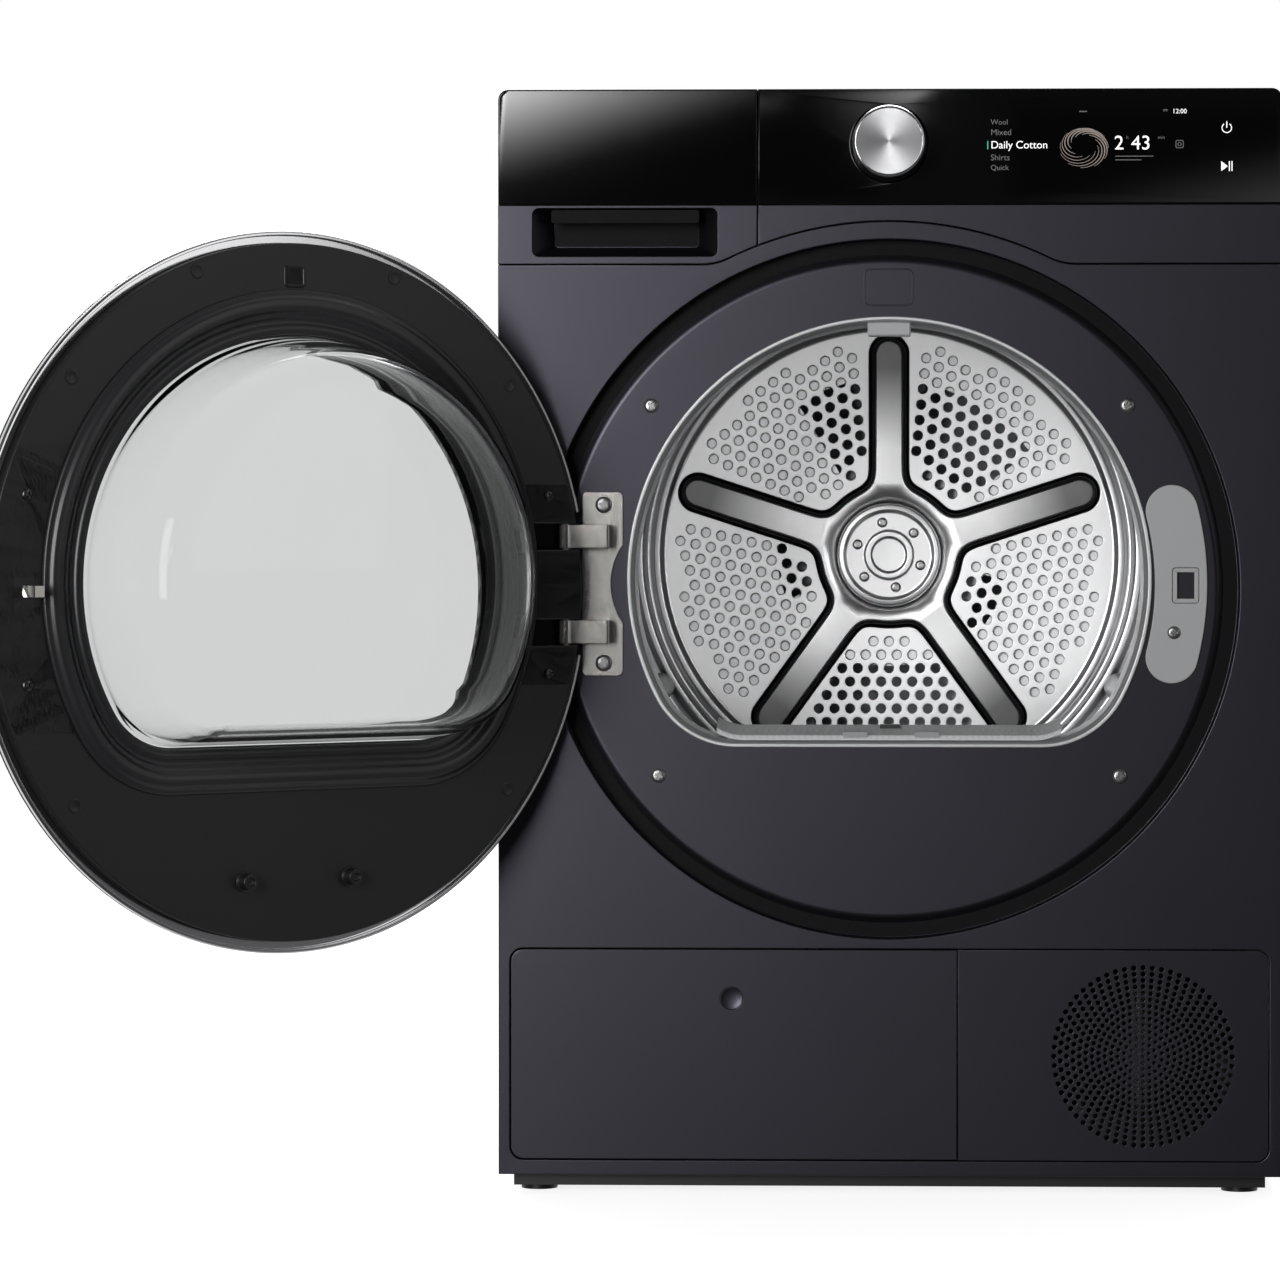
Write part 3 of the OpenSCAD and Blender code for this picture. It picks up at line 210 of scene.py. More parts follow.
def finish(name, colour, metal=0.0, rough=0.4, grain=500.0, bump=0.03, depth=0.0001, vary=0.1,
           drift=9.0, stretch=(1.0, 1.0, 1.0), coat=0.0, ior=1.5):
    """A finish over Object coordinates: slow noise drifts the colour by +-vary, and a fine
    noise of scale grain, stretched along one axis for brushing, moves roughness and normal."""
    mat = bpy.data.materials.new(name)
    mat.use_nodes = True
    nodes, links = mat.node_tree.nodes, mat.node_tree.links
    shader = nodes["Principled BSDF"]
    place = nodes.new("ShaderNodeTexCoord")
    turn = nodes.new("ShaderNodeMapping")
    turn.inputs["Scale"].default_value = stretch
    links.new(place.outputs["Object"], turn.inputs["Vector"])
    slow = nodes.new("ShaderNodeTexNoise")
    slow.inputs["Scale"].default_value = drift
    slow.inputs["Detail"].default_value = 3.0
    links.new(place.outputs["Object"], slow.inputs["Vector"])
    tint = nodes.new("ShaderNodeMix")
    tint.data_type = "RGBA"
    tint.inputs["A"].default_value = (*[c * (1 - vary) for c in colour], 1.0)
    tint.inputs["B"].default_value = (*[min(1.0, c * (1 + vary)) for c in colour], 1.0)
    links.new(slow.outputs["Fac"], tint.inputs["Factor"])
    links.new(tint.outputs["Result"], shader.inputs["Base Color"])
    fine = nodes.new("ShaderNodeTexNoise")
    fine.inputs["Scale"].default_value = grain
    fine.inputs["Detail"].default_value = 4.0
    links.new(turn.outputs["Vector"], fine.inputs["Vector"])
    spread = nodes.new("ShaderNodeMapRange")
    spread.inputs["To Min"].default_value = rough * 0.85
    spread.inputs["To Max"].default_value = min(1.0, rough * 1.15)
    links.new(fine.outputs["Fac"], spread.inputs["Value"])
    links.new(spread.outputs["Result"], shader.inputs["Roughness"])
    relief = nodes.new("ShaderNodeBump")
    relief.inputs["Strength"].default_value = bump
    relief.inputs["Distance"].default_value = depth
    links.new(fine.outputs["Fac"], relief.inputs["Height"])
    links.new(relief.outputs["Normal"], shader.inputs["Normal"])
    shader.inputs["Metallic"].default_value = metal
    shader.inputs["IOR"].default_value = ior
    shader.inputs["Coat Weight"].default_value = coat
    shader.inputs["Coat Roughness"].default_value = 0.12
    return mat


def recoat(mat, *names):
    """Gives a carried-over CAD piece this finish in all its material slots."""
    for name in names:
        piece = frame["nodes"][name]
        piece.data.materials.clear()
        piece.data.materials.append(mat)


anthracite = finish("anthracite_paint", (0.056, 0.054, 0.066), metal=0.95, rough=0.365,
                    grain=1600.0, bump=0.05, vary=0.06, ior=1.4)
recoat(anthracite, "side_panel_left", "side_panel_right", "worktop")


# ---- Front panel ----
# One deep-drawn sheet of painted steel: flat shoulders, an arched top edge, a round dished seat
# for the door with a groove round its rim, and a frame for the flap. Its edges are rolled.

MM = 0.001
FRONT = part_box("front_panel")[0][1] / MM
HALF_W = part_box("worktop")[1][0] / MM
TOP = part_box("worktop")[1][2] / MM
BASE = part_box("front_panel")[0][2] / MM
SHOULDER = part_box("trim_band")[0][2] / MM - 0.3
SEAT = FRONT + 10.0
DOOR_Z = 463.0
DOOR_R = 265.0
SEAT_R = DOOR_R + 2.3
PORT_Z = DOOR_Z + 8.0
PORT_R, PORT_FLAT, PORT_CORNER = 201.0, 341.7, 70.0


def hang(name, mesh, mat, body, crease):
    """The finished mesh as a piece: smooth below the crease angle, with flat faces kept flat by
    normals weighted by area, riding on its body."""
    mesh.shade_smooth()
    mesh.set_sharp_from_angle(angle=math.radians(crease))
    mesh.materials.append(mat)
    piece = bpy.data.objects.new(name, mesh)
    bpy.context.scene.collection.objects.link(piece)
    level = piece.modifiers.new("flat_faces", "WEIGHTED_NORMAL")
    level.keep_sharp, level.weight = True, 100
    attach(piece, body)
    return piece


def make_piece(name, points, faces, mat, body, slot, crease=30.0):
    """A piece from points in millimetres: doubles merged, faces turned outwards, smooth where
    neighbours meet at less than crease degrees."""
    mesh = bpy.data.meshes.new(name)
    mesh.from_pydata((np.asarray(points) * MM).tolist(), [], [tuple(map(int, f)) for f in faces])
    bm = bmesh.new()
    bm.from_mesh(mesh)
    bmesh.ops.remove_doubles(bm, verts=bm.verts, dist=2e-6)
    bmesh.ops.recalc_face_normals(bm, faces=bm.faces)
    bm.to_mesh(mesh)
    bm.free()
    return hang(name, mesh, mat, body, crease)


def arc(cx, cz, r, start, end, n):
    """Points at even steps along an arc, in degrees."""
    a = np.radians(np.linspace(start, end, n))
    return np.stack([cx + r * np.cos(a), cz + r * np.sin(a)], 1)


def circle_line(cx, cz, r, n=180):
    """A closed circle, without its first point repeated."""
    return arc(cx, cz, r, 0, 360, n + 1)[:-1]


def round_rect_line(x0, z0, x1, z1, r, n=9):
    """A rectangle whose corners are quarter circles, anticlockwise."""
    return np.concatenate([arc(x1 - r, z0 + r, r, -90, 0, n), arc(x1 - r, z1 - r, r, 0, 90, n),
                           arc(x0 + r, z1 - r, r, 90, 180, n),
                           arc(x0 + r, z0 + r, r, 180, 270, n)])


def d_line(r, flat, corner, n=140):
    """A circle about the opening's middle, cut by a level line and blended by two corners."""
    low = flat + corner
    side = math.sqrt((r - corner) ** 2 - (PORT_Z - low) ** 2)
    a = math.degrees(math.atan2(low - PORT_Z, side))
    flat_run = np.stack([np.linspace(-side, side, 30)[1:-1], np.full(28, flat)], 1)
    return np.concatenate([arc(side, low, corner, -90, a, 26),
                           arc(0, PORT_Z, r, a, 180 - a, n)[1:-1],
                           arc(-side, low, corner, 180 - a, 270, 26), flat_run])


def grown(line, g):
    """The closed line moved outwards by g along its mitred normals."""
    step = np.roll(line, -1, 0) - line
    step /= np.linalg.norm(step, axis=1, keepdims=True)
    out = np.stack([step[:, 1], -step[:, 0]], 1)
    both = out + np.roll(out, 1, 0)
    both /= np.maximum(np.sum(both * both, 1, keepdims=True) / 2, 0.4)
    return line + g * both


def softened(corners, r, closed=True, n=4):
    """Each corner of a profile replaced by a parabola that leaves its sides r from the corner,
    or half a side if that is shorter."""
    p = np.asarray(corners, float)
    radii = np.broadcast_to(np.asarray(r, float), (len(p),))
    t = np.linspace(0, 1, n + 1)[:, None]
    run = []
    for i in range(len(p)):
        if not closed and i in (0, len(p) - 1) or radii[i] == 0:
            run.append(p[i:i + 1])
            continue
        back, ahead = p[i - 1] - p[i], p[(i + 1) % len(p)] - p[i]
        lb, la = np.linalg.norm(back), np.linalg.norm(ahead)
        a = p[i] + back / lb * min(radii[i], lb * 0.49)
        b = p[i] + ahead / la * min(radii[i], la * 0.49)
        run.append((1 - t) ** 2 * a + 2 * t * (1 - t) * p[i] + t ** 2 * b)
    return np.concatenate(run)


def quads(rows, cols, wrap_rows=False, wrap_cols=True, start=0):
    """Corner indices of the quads of a grid of rows x cols points."""
    i, j = np.meshgrid(np.arange(rows if wrap_rows else rows - 1),
                       np.arange(cols if wrap_cols else cols - 1), indexing="ij")
    k, m = (i + 1) % rows, (j + 1) % cols
    return (start + np.stack([i * cols + j, i * cols + m, k * cols + m, k * cols + j],
                             -1).reshape(-1, 4)).tolist()


def capped(rows, cols):
    """The quads of a grid whose rows are closed rings, with a face over its first and last."""
    return quads(rows, cols) + [list(range(cols)), list(range((rows - 1) * cols, rows * cols))]


def carried(line, profile, closed=True):
    """A profile of (outward offset, y) carried round a closed line in X and Z. An open profile
    is capped at both ends."""
    rings = [np.insert(grown(line, g), 1, y, axis=1) for g, y in np.asarray(profile)]
    count, n = len(rings), len(line)
    return np.concatenate(rings), quads(count, n, True) if closed else capped(count, n)


def turned(profile, cx, cz, n=180, closed=True):
    """A profile of (radius, y) turned about an axis along Y through (cx, cz)."""
    p = np.asarray(profile, float)
    a = np.linspace(0, 2 * np.pi, n, endpoint=False)
    grid = np.stack([cx + p[:, :1] * np.cos(a), np.repeat(p[:, 1:], n, 1),
                     cz + p[:, :1] * np.sin(a)], -1)
    return grid.reshape(-1, 3), quads(len(p), n, closed, True)


def joined(*parts):
    """Several (points, faces) as one."""
    points, faces, start = [], [], 0
    for p, f in parts:
        points.append(np.asarray(p, float))
        faces += [[k + start for k in face] for face in f]
        start += len(p)
    return np.concatenate(points), faces


def inside_line(points, line):
    """True for each point from which a ray along +X crosses the closed line an odd number of
    times."""
    x, z = points[:, :1], points[:, 1:]
    ends = np.roll(line, -1, 0)
    spans = (line[:, 1] > z) != (ends[:, 1] > z)
    rise = np.where(ends[:, 1] == line[:, 1], 1.0, ends[:, 1] - line[:, 1])
    meets = line[:, 0] + (z - line[:, 1]) * (ends[:, 0] - line[:, 0]) / rise
    return np.sum(spans & (x < meets), 1) % 2 == 1


def between(lines):
    """Triangles over the first closed line less the others: the constrained Delaunay triangles
    of all the lines, without those in a hole or past the outer line."""
    flat = np.concatenate(lines)
    sizes = [len(line) for line in lines]
    owner = np.repeat(np.arange(len(lines)), sizes)
    first = np.repeat(np.cumsum([0] + sizes[:-1]), sizes)
    k = np.arange(len(flat))
    after = np.where(k + 1 < first + np.array(sizes)[owner], k + 1, first)
    found = delaunay_2d_cdt([Vector(p) for p in flat.tolist()],
                            np.stack([k, after], 1).tolist(), [], 0, 1e-5)
    faces = np.array([[found[3][v][0] for v in face] for face in found[2]])
    kept = np.ones(len(faces), bool)
    mine = owner[faces]
    alone = (mine[:, 0] == mine[:, 1]) & (mine[:, 1] == mine[:, 2])
    middle = flat[faces].mean(1)
    for number, line in enumerate(lines):
        chosen = np.flatnonzero(alone & (mine[:, 0] == number))
        if len(chosen):
            within = inside_line(middle[chosen], line)
            kept[chosen] = within if number == 0 else ~within
    return faces[kept]


def pressed_sheet(name, outer, holes, y0, thick, edge, mat, body, deep=0.0, crease=30.0,
                  flange=1.2, place=None):
    """A flat sheet between an outer line and its holes. Every edge turns back through a
    quarter circle of radius edge; a hole's wall goes deep behind the face if deep is set. The
    function place, if given, moves all the points at the end."""
    bm = bmesh.new()
    quarter = np.radians(np.linspace(90, 0, 5))
    roll = [(edge - edge * math.cos(a), edge - edge * math.sin(a)) for a in quarter]
    fronts, backs, front_lines, back_lines = [], [], [], []
    for line, sign in [(outer, -1.0)] + [(hole, 1.0) for hole in holes]:
        path = list(roll)
        far = deep if deep and sign > 0 and len(line) > 30 else 0.0
        if far:
            path += [(0.0, far), (flange, far), (flange, thick)]
        else:
            path += [(0.0, thick)]
        rings = []
        for inset, y in path:
            ring = np.insert(grown(line, sign * inset), 1, y0 + y, axis=1)
            ring = (place(ring) if place else ring) * MM
            rings.append([bm.verts.new(p) for p in ring])
        n = len(line)
        for a, b in zip(rings[:-1], rings[1:]):
            for j in range(n):
                bm.faces.new((a[j], a[(j + 1) % n], b[(j + 1) % n], b[j]))
        fronts += rings[0]
        backs += rings[-1]
        front_lines.append(grown(line, sign * path[0][0]))
        back_lines.append(grown(line, sign * path[-1][0]))
    for verts, lines in ((fronts, front_lines), (backs, back_lines)):
        for face in between(lines).tolist():
            bm.faces.new([verts[v] for v in face])
    bmesh.ops.recalc_face_normals(bm, faces=bm.faces)
    mesh = bpy.data.meshes.new(name)
    bm.to_mesh(mesh)
    bm.free()
    return hang(name, mesh, mat, body, crease)


ARCH_R, ARCH_BLEND = SEAT_R + 13.5, 45.0


def arch_run():
    """The arched top edge from its right foot to its left: a blend, the arch, a blend."""
    h = SHOULDER + ARCH_BLEND - DOOR_Z
    foot_x = math.sqrt((ARCH_R + ARCH_BLEND) ** 2 - h * h)
    a = math.degrees(math.atan2(h, foot_x))
    return np.concatenate([arc(foot_x, SHOULDER + ARCH_BLEND, ARCH_BLEND, 270, 180 + a, 16)[:-1],
                           arc(0, DOOR_Z, ARCH_R, a, 180 - a, 90)[:-1],
                           arc(-foot_x, SHOULDER + ARCH_BLEND, ARCH_BLEND, -a, -90, 16)])


arch = arch_run()
panel_line = np.concatenate([[[-HALF_W, BASE], [HALF_W, BASE], [HALF_W, SHOULDER]], arch,
                             [[-HALF_W, SHOULDER]]])
FLAP_LOW, FLAP_HIGH, FLAP_W = 26.5, 187.5, HALF_W - 9.5
flap_hole = round_rect_line(-FLAP_W - 0.6, FLAP_LOW - 0.6, FLAP_W + 0.6, FLAP_HIGH + 0.6, 10.0)
front_sheet = pressed_sheet("front_sheet", panel_line, [circle_line(0, DOOR_Z, SEAT_R, 240),
                            flap_hole], FRONT, 1.2, 0.9, anthracite, "cabinet",
                            deep=12.0)
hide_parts("front_panel")


def radius_towards(line, cz, angles):
    """The distance from (0, cz) to a closed line in each direction, by interpolation."""
    a = np.arctan2(line[:, 1] - cz, line[:, 0])
    r = np.hypot(line[:, 0], line[:, 1] - cz)
    order = np.argsort(a)
    return np.interp(angles, a[order], r[order], period=2 * np.pi)


# the seat: rim wall, groove, step and the plate that holds the collar, from the rim inwards
seat_dirs = np.linspace(0, 2 * np.pi, 360, endpoint=False)
port_edge = radius_towards(grown(d_line(PORT_R, PORT_FLAT, PORT_CORNER), -3.2), DOOR_Z,
                           seat_dirs)
GROOVE = SEAT + 3.0
seat_profile = softened([(SEAT_R, FRONT + 1.5), (SEAT_R, GROOVE), (DOOR_R - 9.0, GROOVE),
                         (DOOR_R - 14.5, SEAT), (240.0, SEAT)], [0, 1.6, 1.2, 2.0, 0],
                        closed=False)
seat_rows = [np.stack([r * np.cos(seat_dirs), np.full(360, y), DOOR_Z + r * np.sin(seat_dirs)],
                      1) for r, y in seat_profile]
for part in (0.5, 1.0):
    r = 240.0 + (port_edge - 240.0) * part
    seat_rows.append(np.stack([r * np.cos(seat_dirs), np.full(360, SEAT),
                               DOOR_Z + r * np.sin(seat_dirs)], 1))
seat_back = [row + [0.0, 1.2, 0.0] for row in seat_rows[::-1]]
seat_grid = np.concatenate(seat_rows + seat_back)
make_piece("door_seat", seat_grid, quads(2 * len(seat_rows), 360, True), anthracite, "cabinet",
           "painted_steel")

# a near-black ring lies on the floor of the groove: painted shade for the deep groove
groove_painted_shade = finish("groove_painted_shade", (0.004, 0.004, 0.005), rough=0.65, grain=700.0, bump=0.1,
                      vary=0.1, ior=1.25)
make_piece("seat_groove_shade", *turned(softened(
    [(DOOR_R - 9.6, GROOVE + 0.3), (DOOR_R - 9.4, GROOVE - 0.7), (SEAT_R - 1.2, GROOVE - 0.7),
     (SEAT_R - 1.0, GROOVE + 0.3)], 0.3), 0, DOOR_Z, 300), groove_painted_shade, "cabinet",
    "painted_steel")

# the blanking plug that fills the other door hand's opening, a shallow pressed rectangle
plug_ring = carried(round_rect_line(-19.0, 680.0, 18.0, 708.0, 4.5),
                    softened([(0.6, SEAT + 0.4), (0.35, SEAT - 0.35), (-0.6, SEAT - 0.35),
                              (-0.9, SEAT + 0.4)], 0.25))
make_piece("blanking_plug", *plug_ring, anthracite, "cabinet", "painted_steel")


# ---- Trim band and fascia ----
# The band is a painted moulding that follows the arch; the fascia is a black glass plate bonded
# over the control board, with a shallow dish round the knob.

SPLIT = -HALF_W + 198.6
SEAM = 0.6
FASCIA_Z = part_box("control_fascia")[0][2] / MM
BAND_LEFT, DRAWER_RIGHT = SPLIT + SEAM / 2, SPLIT - SEAM / 2
over_arch = arch[::-1] + [0.0, SEAM]


def over_arch_at(x):
    """The height of the line one seam above the arch at x."""
    return float(np.interp(x, *over_arch.T))


band_line = np.concatenate([[[BAND_LEFT, over_arch_at(BAND_LEFT)]],
                            over_arch[over_arch[:, 0] > BAND_LEFT + 0.5],
                            [[HALF_W, SHOULDER + SEAM], [HALF_W, FASCIA_Z - SEAM / 2],
                             [BAND_LEFT, FASCIA_Z - SEAM / 2]]])
band = pressed_sheet("trim_moulding", band_line, [], FRONT, 14.0, 0.7, anthracite, "cabinet")
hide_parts("trim_band")

black_glass = finish("black_fascia_glass", (0.0028, 0.0028, 0.0032), rough=0.045, grain=60.0,
                     bump=0.004, vary=0.05, coat=0.0)
CORNER = 8.0
fascia_line = np.concatenate([[[BAND_LEFT, FASCIA_Z], [HALF_W, FASCIA_Z]],
                              arc(HALF_W - CORNER, TOP - CORNER, CORNER, 0, 90, 12),
                              [[BAND_LEFT, TOP]]])
KNOB_Z = FASCIA_Z + 46.2
KNOB_R = 27.5
fascia = pressed_sheet("fascia_glass", fascia_line, [circle_line(0, KNOB_Z, KNOB_R + 1.6, 120)],
                       FRONT, 14.0, 1.3, black_glass, "cabinet")
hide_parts("control_fascia", "display_module")
make_piece("knob_dish", *turned(softened(
    [(KNOB_R + 1.6, FRONT + 1.0), (KNOB_R + 1.6, FRONT + 2.6), (4.6, FRONT + 2.6),
     (4.6, FRONT + 4.0), (KNOB_R + 3.0, FRONT + 4.0), (KNOB_R + 3.0, FRONT + 1.0)], 0.5),
    0, KNOB_Z, 120), black_glass, "cabinet", "gloss_fascia")


# ---- Programme knob ----
# A spun aluminium cap: the face is turned in fine circles, so light fans out from the middle,
# and its polished edge rolls into a straight skirt.

def spun_metal(name, colour, rough, aniso):
    """Turned aluminium: the roughness lies along circles about the knob's axis."""
    mat = finish(name, colour, metal=1.0, rough=rough, grain=300.0, bump=0.02, vary=0.03)
    nodes, links = mat.node_tree.nodes, mat.node_tree.links
    shader = nodes["Principled BSDF"]
    shader.inputs["Anisotropic"].default_value = aniso
    tangent = nodes.new("ShaderNodeTangent")
    tangent.direction_type = "RADIAL"
    tangent.axis = "Y"
    links.new(tangent.outputs[0], shader.inputs["Tangent"])
    return mat


spun = spun_metal("spun_aluminium", (0.60, 0.60, 0.61), 0.50, 0.76)
polished = finish("polished_aluminium", (0.82, 0.82, 0.83), metal=1.0, rough=0.16, grain=200.0,
                  bump=0.01, vary=0.03)
KNOB_FACE = FRONT - 29.0
face_profile = [(0.0, KNOB_FACE + 0.8), (9.0, KNOB_FACE + 0.55), (18.0, KNOB_FACE + 0.25),
                (KNOB_R - 2.6, KNOB_FACE + 0.1), (KNOB_R - 2.6, KNOB_FACE + 2.0),
                (0.0, KNOB_FACE + 2.0)]
knob_face = make_piece("knob_face", *turned(face_profile, 0, KNOB_Z, 160, closed=False), spun,
                       "knob", "bright_trim")
skirt_profile = softened([(KNOB_R - 2.6, KNOB_FACE + 1.2), (KNOB_R - 2.4, KNOB_FACE),
                          (KNOB_R - 0.9, KNOB_FACE + 0.6), (KNOB_R, KNOB_FACE + 3.0),
                          (KNOB_R, FRONT - 3.0), (KNOB_R - 0.8, FRONT - 2.4),
                          (KNOB_R - 2.0, FRONT - 2.4), (KNOB_R - 2.0, KNOB_FACE + 3.0)], 0.5)
make_piece("knob_skirt", *turned(skirt_profile, 0, KNOB_Z, 160), polished, "knob",
           "bright_trim")
dark_rubber = finish("dark_rubber", (0.018, 0.018, 0.019), rough=0.46, grain=420.0, bump=0.12,
                     vary=0.12)
make_piece("knob_base", *turned(softened(
    [(KNOB_R - 2.2, FRONT - 2.6), (KNOB_R - 0.7, FRONT - 2.6), (KNOB_R - 0.7, FRONT + 0.6),
     (4.0, FRONT + 0.6), (4.0, KNOB_FACE + 2.0), (KNOB_R - 2.2, KNOB_FACE + 2.0)], 0.3),
    0, KNOB_Z, 120), dark_rubber, "knob", "bright_trim")
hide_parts("knob")


# ---- Display and touch keys ----
# The screen glows through the glass: five programme words, a swirl, the time left and a clock.
# The power and start keys are printed marks under the glass and have no travel.

def glow_mark(name, colour, strength):
    """A lit mark: a dark base with its own light, a little uneven over the object."""
    mat = finish(name, colour, rough=0.5, grain=300.0, bump=0.0, vary=0.04)
    shader = mat.node_tree.nodes["Principled BSDF"]
    shader.inputs["Emission Color"].default_value = (*colour, 1.0)
    shader.inputs["Emission Strength"].default_value = strength
    return mat


lit_white = glow_mark("lit_white", (0.85, 0.85, 0.85), 0.9)
lit_grey = glow_mark("lit_grey", (0.10, 0.10, 0.10), 0.7)
lit_green = glow_mark("lit_green", (0.02, 0.35, 0.22), 0.9)
lit_warm = glow_mark("lit_warm", (0.20, 0.17, 0.15), 0.8)
MARK_Y = FRONT - 0.06


def lettering(name, words, x, z, size, mat):
    """Flat words on the glass, made a mesh, with their left end on x and the base line on z."""
    curve = bpy.data.curves.new(name, "FONT")
    curve.body = words
    curve.size = size
    text = bpy.data.objects.new(name, curve)
    bpy.context.scene.collection.objects.link(text)
    bpy.context.view_layer.update()
    mesh = bpy.data.meshes.new_from_object(text)
    flat = np.array([v.co[:] for v in mesh.vertices])
    faces = [tuple(p.vertices) for p in mesh.polygons]
    bpy.data.objects.remove(text)
    points = np.stack([x + flat[:, 0], np.full(len(flat), MARK_Y), z + flat[:, 1]], 1)
    make_piece(name, points, faces, mat, "cabinet", "gloss_fascia")


def ribbon(spine, width):
    """A flat ribbon of a given width (one value or one per point) along a line in X and Z."""
    d = np.gradient(spine, axis=0)
    d /= np.linalg.norm(d, axis=1, keepdims=True)
    side = np.stack([-d[:, 1], d[:, 0]], 1) * (np.asarray(width).reshape(-1, 1) / 2)
    rows = np.concatenate([spine - side, spine + side])
    n = len(spine)
    return np.insert(rows, 1, MARK_Y, axis=1), quads(2, n, False, False)


def bar(x0, z0, x1, z1):
    """A flat rectangular mark."""
    return (np.array([[x0, MARK_Y, z0], [x1, MARK_Y, z0], [x1, MARK_Y, z1], [x0, MARK_Y, z1]]),
            [[0, 1, 2, 3]])


for k, (word, x, z, size, mat) in enumerate([
        ("Wool", 77.3, 817.4, 5.6, lit_grey), ("Mixed", 77.3, 809.4, 6.4, lit_grey),
        ("Daily Cotton", 77.3, 799.2, 8.2, lit_white), ("Shirts", 77.3, 790.2, 6.4, lit_grey),
        ("Quick", 77.3, 782.8, 5.6, lit_grey), ("12:00", 215.4, 825.6, 5.0, lit_white),
        ("2", 171.2, 798.2, 15.2, lit_white), ("43", 184.0, 798.2, 15.2, lit_white),
        ("h", 180.4, 806.2, 3.6, lit_grey), ("min", 204.4, 806.2, 3.6, lit_grey)]):
    lettering(f"screen_words_{k}", word, x, z, size, mat)
make_piece("screen_tick", *bar(74.7, 798.6, 75.5, 804.8), lit_green, "cabinet", "gloss_fascia")
small_marks = [bar(144.6, 826.8, 150.6, 827.6), bar(172.0, 792.8, 201.0, 793.4),
               bar(172.0, 790.0, 192.0, 790.6)]
for half in (2.6, 1.7):
    small_marks.append(ribbon(arc(210.2, 825.6, half + 0.4, 50, 130, 9), 0.5))
case = round_rect_line(218.2, 799.4, 223.8, 805.0, 1.2)
small_marks.append(ribbon(np.concatenate([case, case[:1]]), 0.6))
small_marks.append(ribbon(arc(221.0, 802.2, 1.3, 0, 360, 20), 0.5))
make_piece("screen_small_marks", *joined(*small_marks), lit_grey, "cabinet", "gloss_fascia")
KEY_X = 256.8
make_piece("power_mark", *joined(
    ribbon(arc(KEY_X, 814.5, 3.6, 125, 415, 40), 0.7), bar(KEY_X - 0.4, 814.6, KEY_X + 0.4, 819.4)),
    lit_white, "cabinet", "gloss_fascia")
make_piece("start_mark", *joined(
    (np.array([[KEY_X - 4.2, MARK_Y, 781.6], [KEY_X + 0.8, MARK_Y, 785.4],
               [KEY_X - 4.2, MARK_Y, 789.2]]), [[0, 1, 2]]),
    bar(KEY_X + 1.6, 781.6, KEY_X + 2.4, 789.2), bar(KEY_X + 3.6, 781.6, KEY_X + 4.4, 789.2)),
    lit_white, "cabinet", "gloss_fascia")
# the swirl: arms that wind in from an outer ellipse while they turn
swirl = []
for k in range(11):
    t = np.linspace(0, 1, 40)
    a = 2 * np.pi * k / 11 + 2.3 * t
    r = 18.5 - 8.5 * t ** 1.4
    spine = np.stack([148.4 + r * np.cos(a), 799.4 + 0.82 * r * np.sin(a) + 2.0 * t], 1)
    swirl.append(ribbon(spine, 0.25 + 0.9 * np.sin(np.pi * t) * (0.6 + 0.4 * np.cos(a[0]))))
make_piece("screen_swirl", *joined(*swirl), lit_warm, "cabinet", "gloss_fascia")


# ---- Tank drawer ----
# The drawer's front is a black glass plate above a painted moulding, whose pocket has sloping
# cheeks and a grip bar under its upper edge. The tank behind it is milky plastic.

glass_line = np.concatenate([[[-HALF_W, FASCIA_Z], [DRAWER_RIGHT, FASCIA_Z],
                              [DRAWER_RIGHT, TOP]],
                             arc(-HALF_W + CORNER, TOP - CORNER, CORNER, 90, 180, 12)])
pressed_sheet("drawer_glass", glass_line, [], FRONT, 14.0, 1.3, black_glass, "tank_drawer")
face_line = np.concatenate([[[-HALF_W, FASCIA_Z - SEAM / 2], [-HALF_W, SHOULDER + SEAM]],
                            over_arch[over_arch[:, 0] < DRAWER_RIGHT - 0.5],
                            [[DRAWER_RIGHT, over_arch_at(DRAWER_RIGHT)],
                             [DRAWER_RIGHT, FASCIA_Z - SEAM / 2]]])
POCKET = (SPLIT - 172.0, 717.5, SPLIT - 30.8, 754.0)
pocket_line = round_rect_line(*POCKET, 5.0)
drawer_face = pressed_sheet("drawer_face", face_line, [pocket_line], FRONT, 14.0, 0.7,
                            anthracite, "tank_drawer")
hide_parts("drawer_front")
pocket_black = finish("pocket_plastic", (0.005, 0.005, 0.006), rough=0.55, grain=900.0,
                      bump=0.1, vary=0.1, ior=1.2)
inner_line = round_rect_line(POCKET[0] + 15.0, POCKET[1] + 8.0, POCKET[2] - 15.0,
                             POCKET[3] - 1.0, 3.5)
pocket_rings = []
for part, y in [(0.0, 1.0), (0.0, 3.0), (0.12, 5.0), (0.55, 12.0), (0.95, 21.0), (1.0, 26.0)]:
    pocket_rings.append(np.insert(pocket_line + (inner_line - pocket_line) * part, 1,
                                  FRONT + y, axis=1))
n_pocket = len(pocket_line)
pocket_faces = quads(len(pocket_rings), n_pocket)
pocket_faces += [list(range((len(pocket_rings) - 1) * n_pocket,
                            len(pocket_rings) * n_pocket))]
make_piece("drawer_pocket", np.concatenate(pocket_rings), pocket_faces, anthracite,
           "tank_drawer", "painted_steel", crease=40.0)
grip = carried(round_rect_line(POCKET[0] + 14.0, POCKET[3] - 11.0, POCKET[2] - 14.0,
                               POCKET[3] - 1.0, 2.2),
               softened([(0, FRONT + 4.0), (0, FRONT + 11.0)], 0, closed=False), closed=False)
make_piece("drawer_grip_bar", *grip, pocket_black, "tank_drawer", "painted_steel")
floor_plate = carried(round_rect_line(POCKET[0] + 15.6, POCKET[1] + 8.6, POCKET[2] - 15.6,
                                      POCKET[3] - 9.0, 3.0),
                      [(0, FRONT + 24.5), (0, FRONT + 25.8)], closed=False)
make_piece("drawer_pocket_floor", *floor_plate, pocket_black, "tank_drawer", "painted_steel")


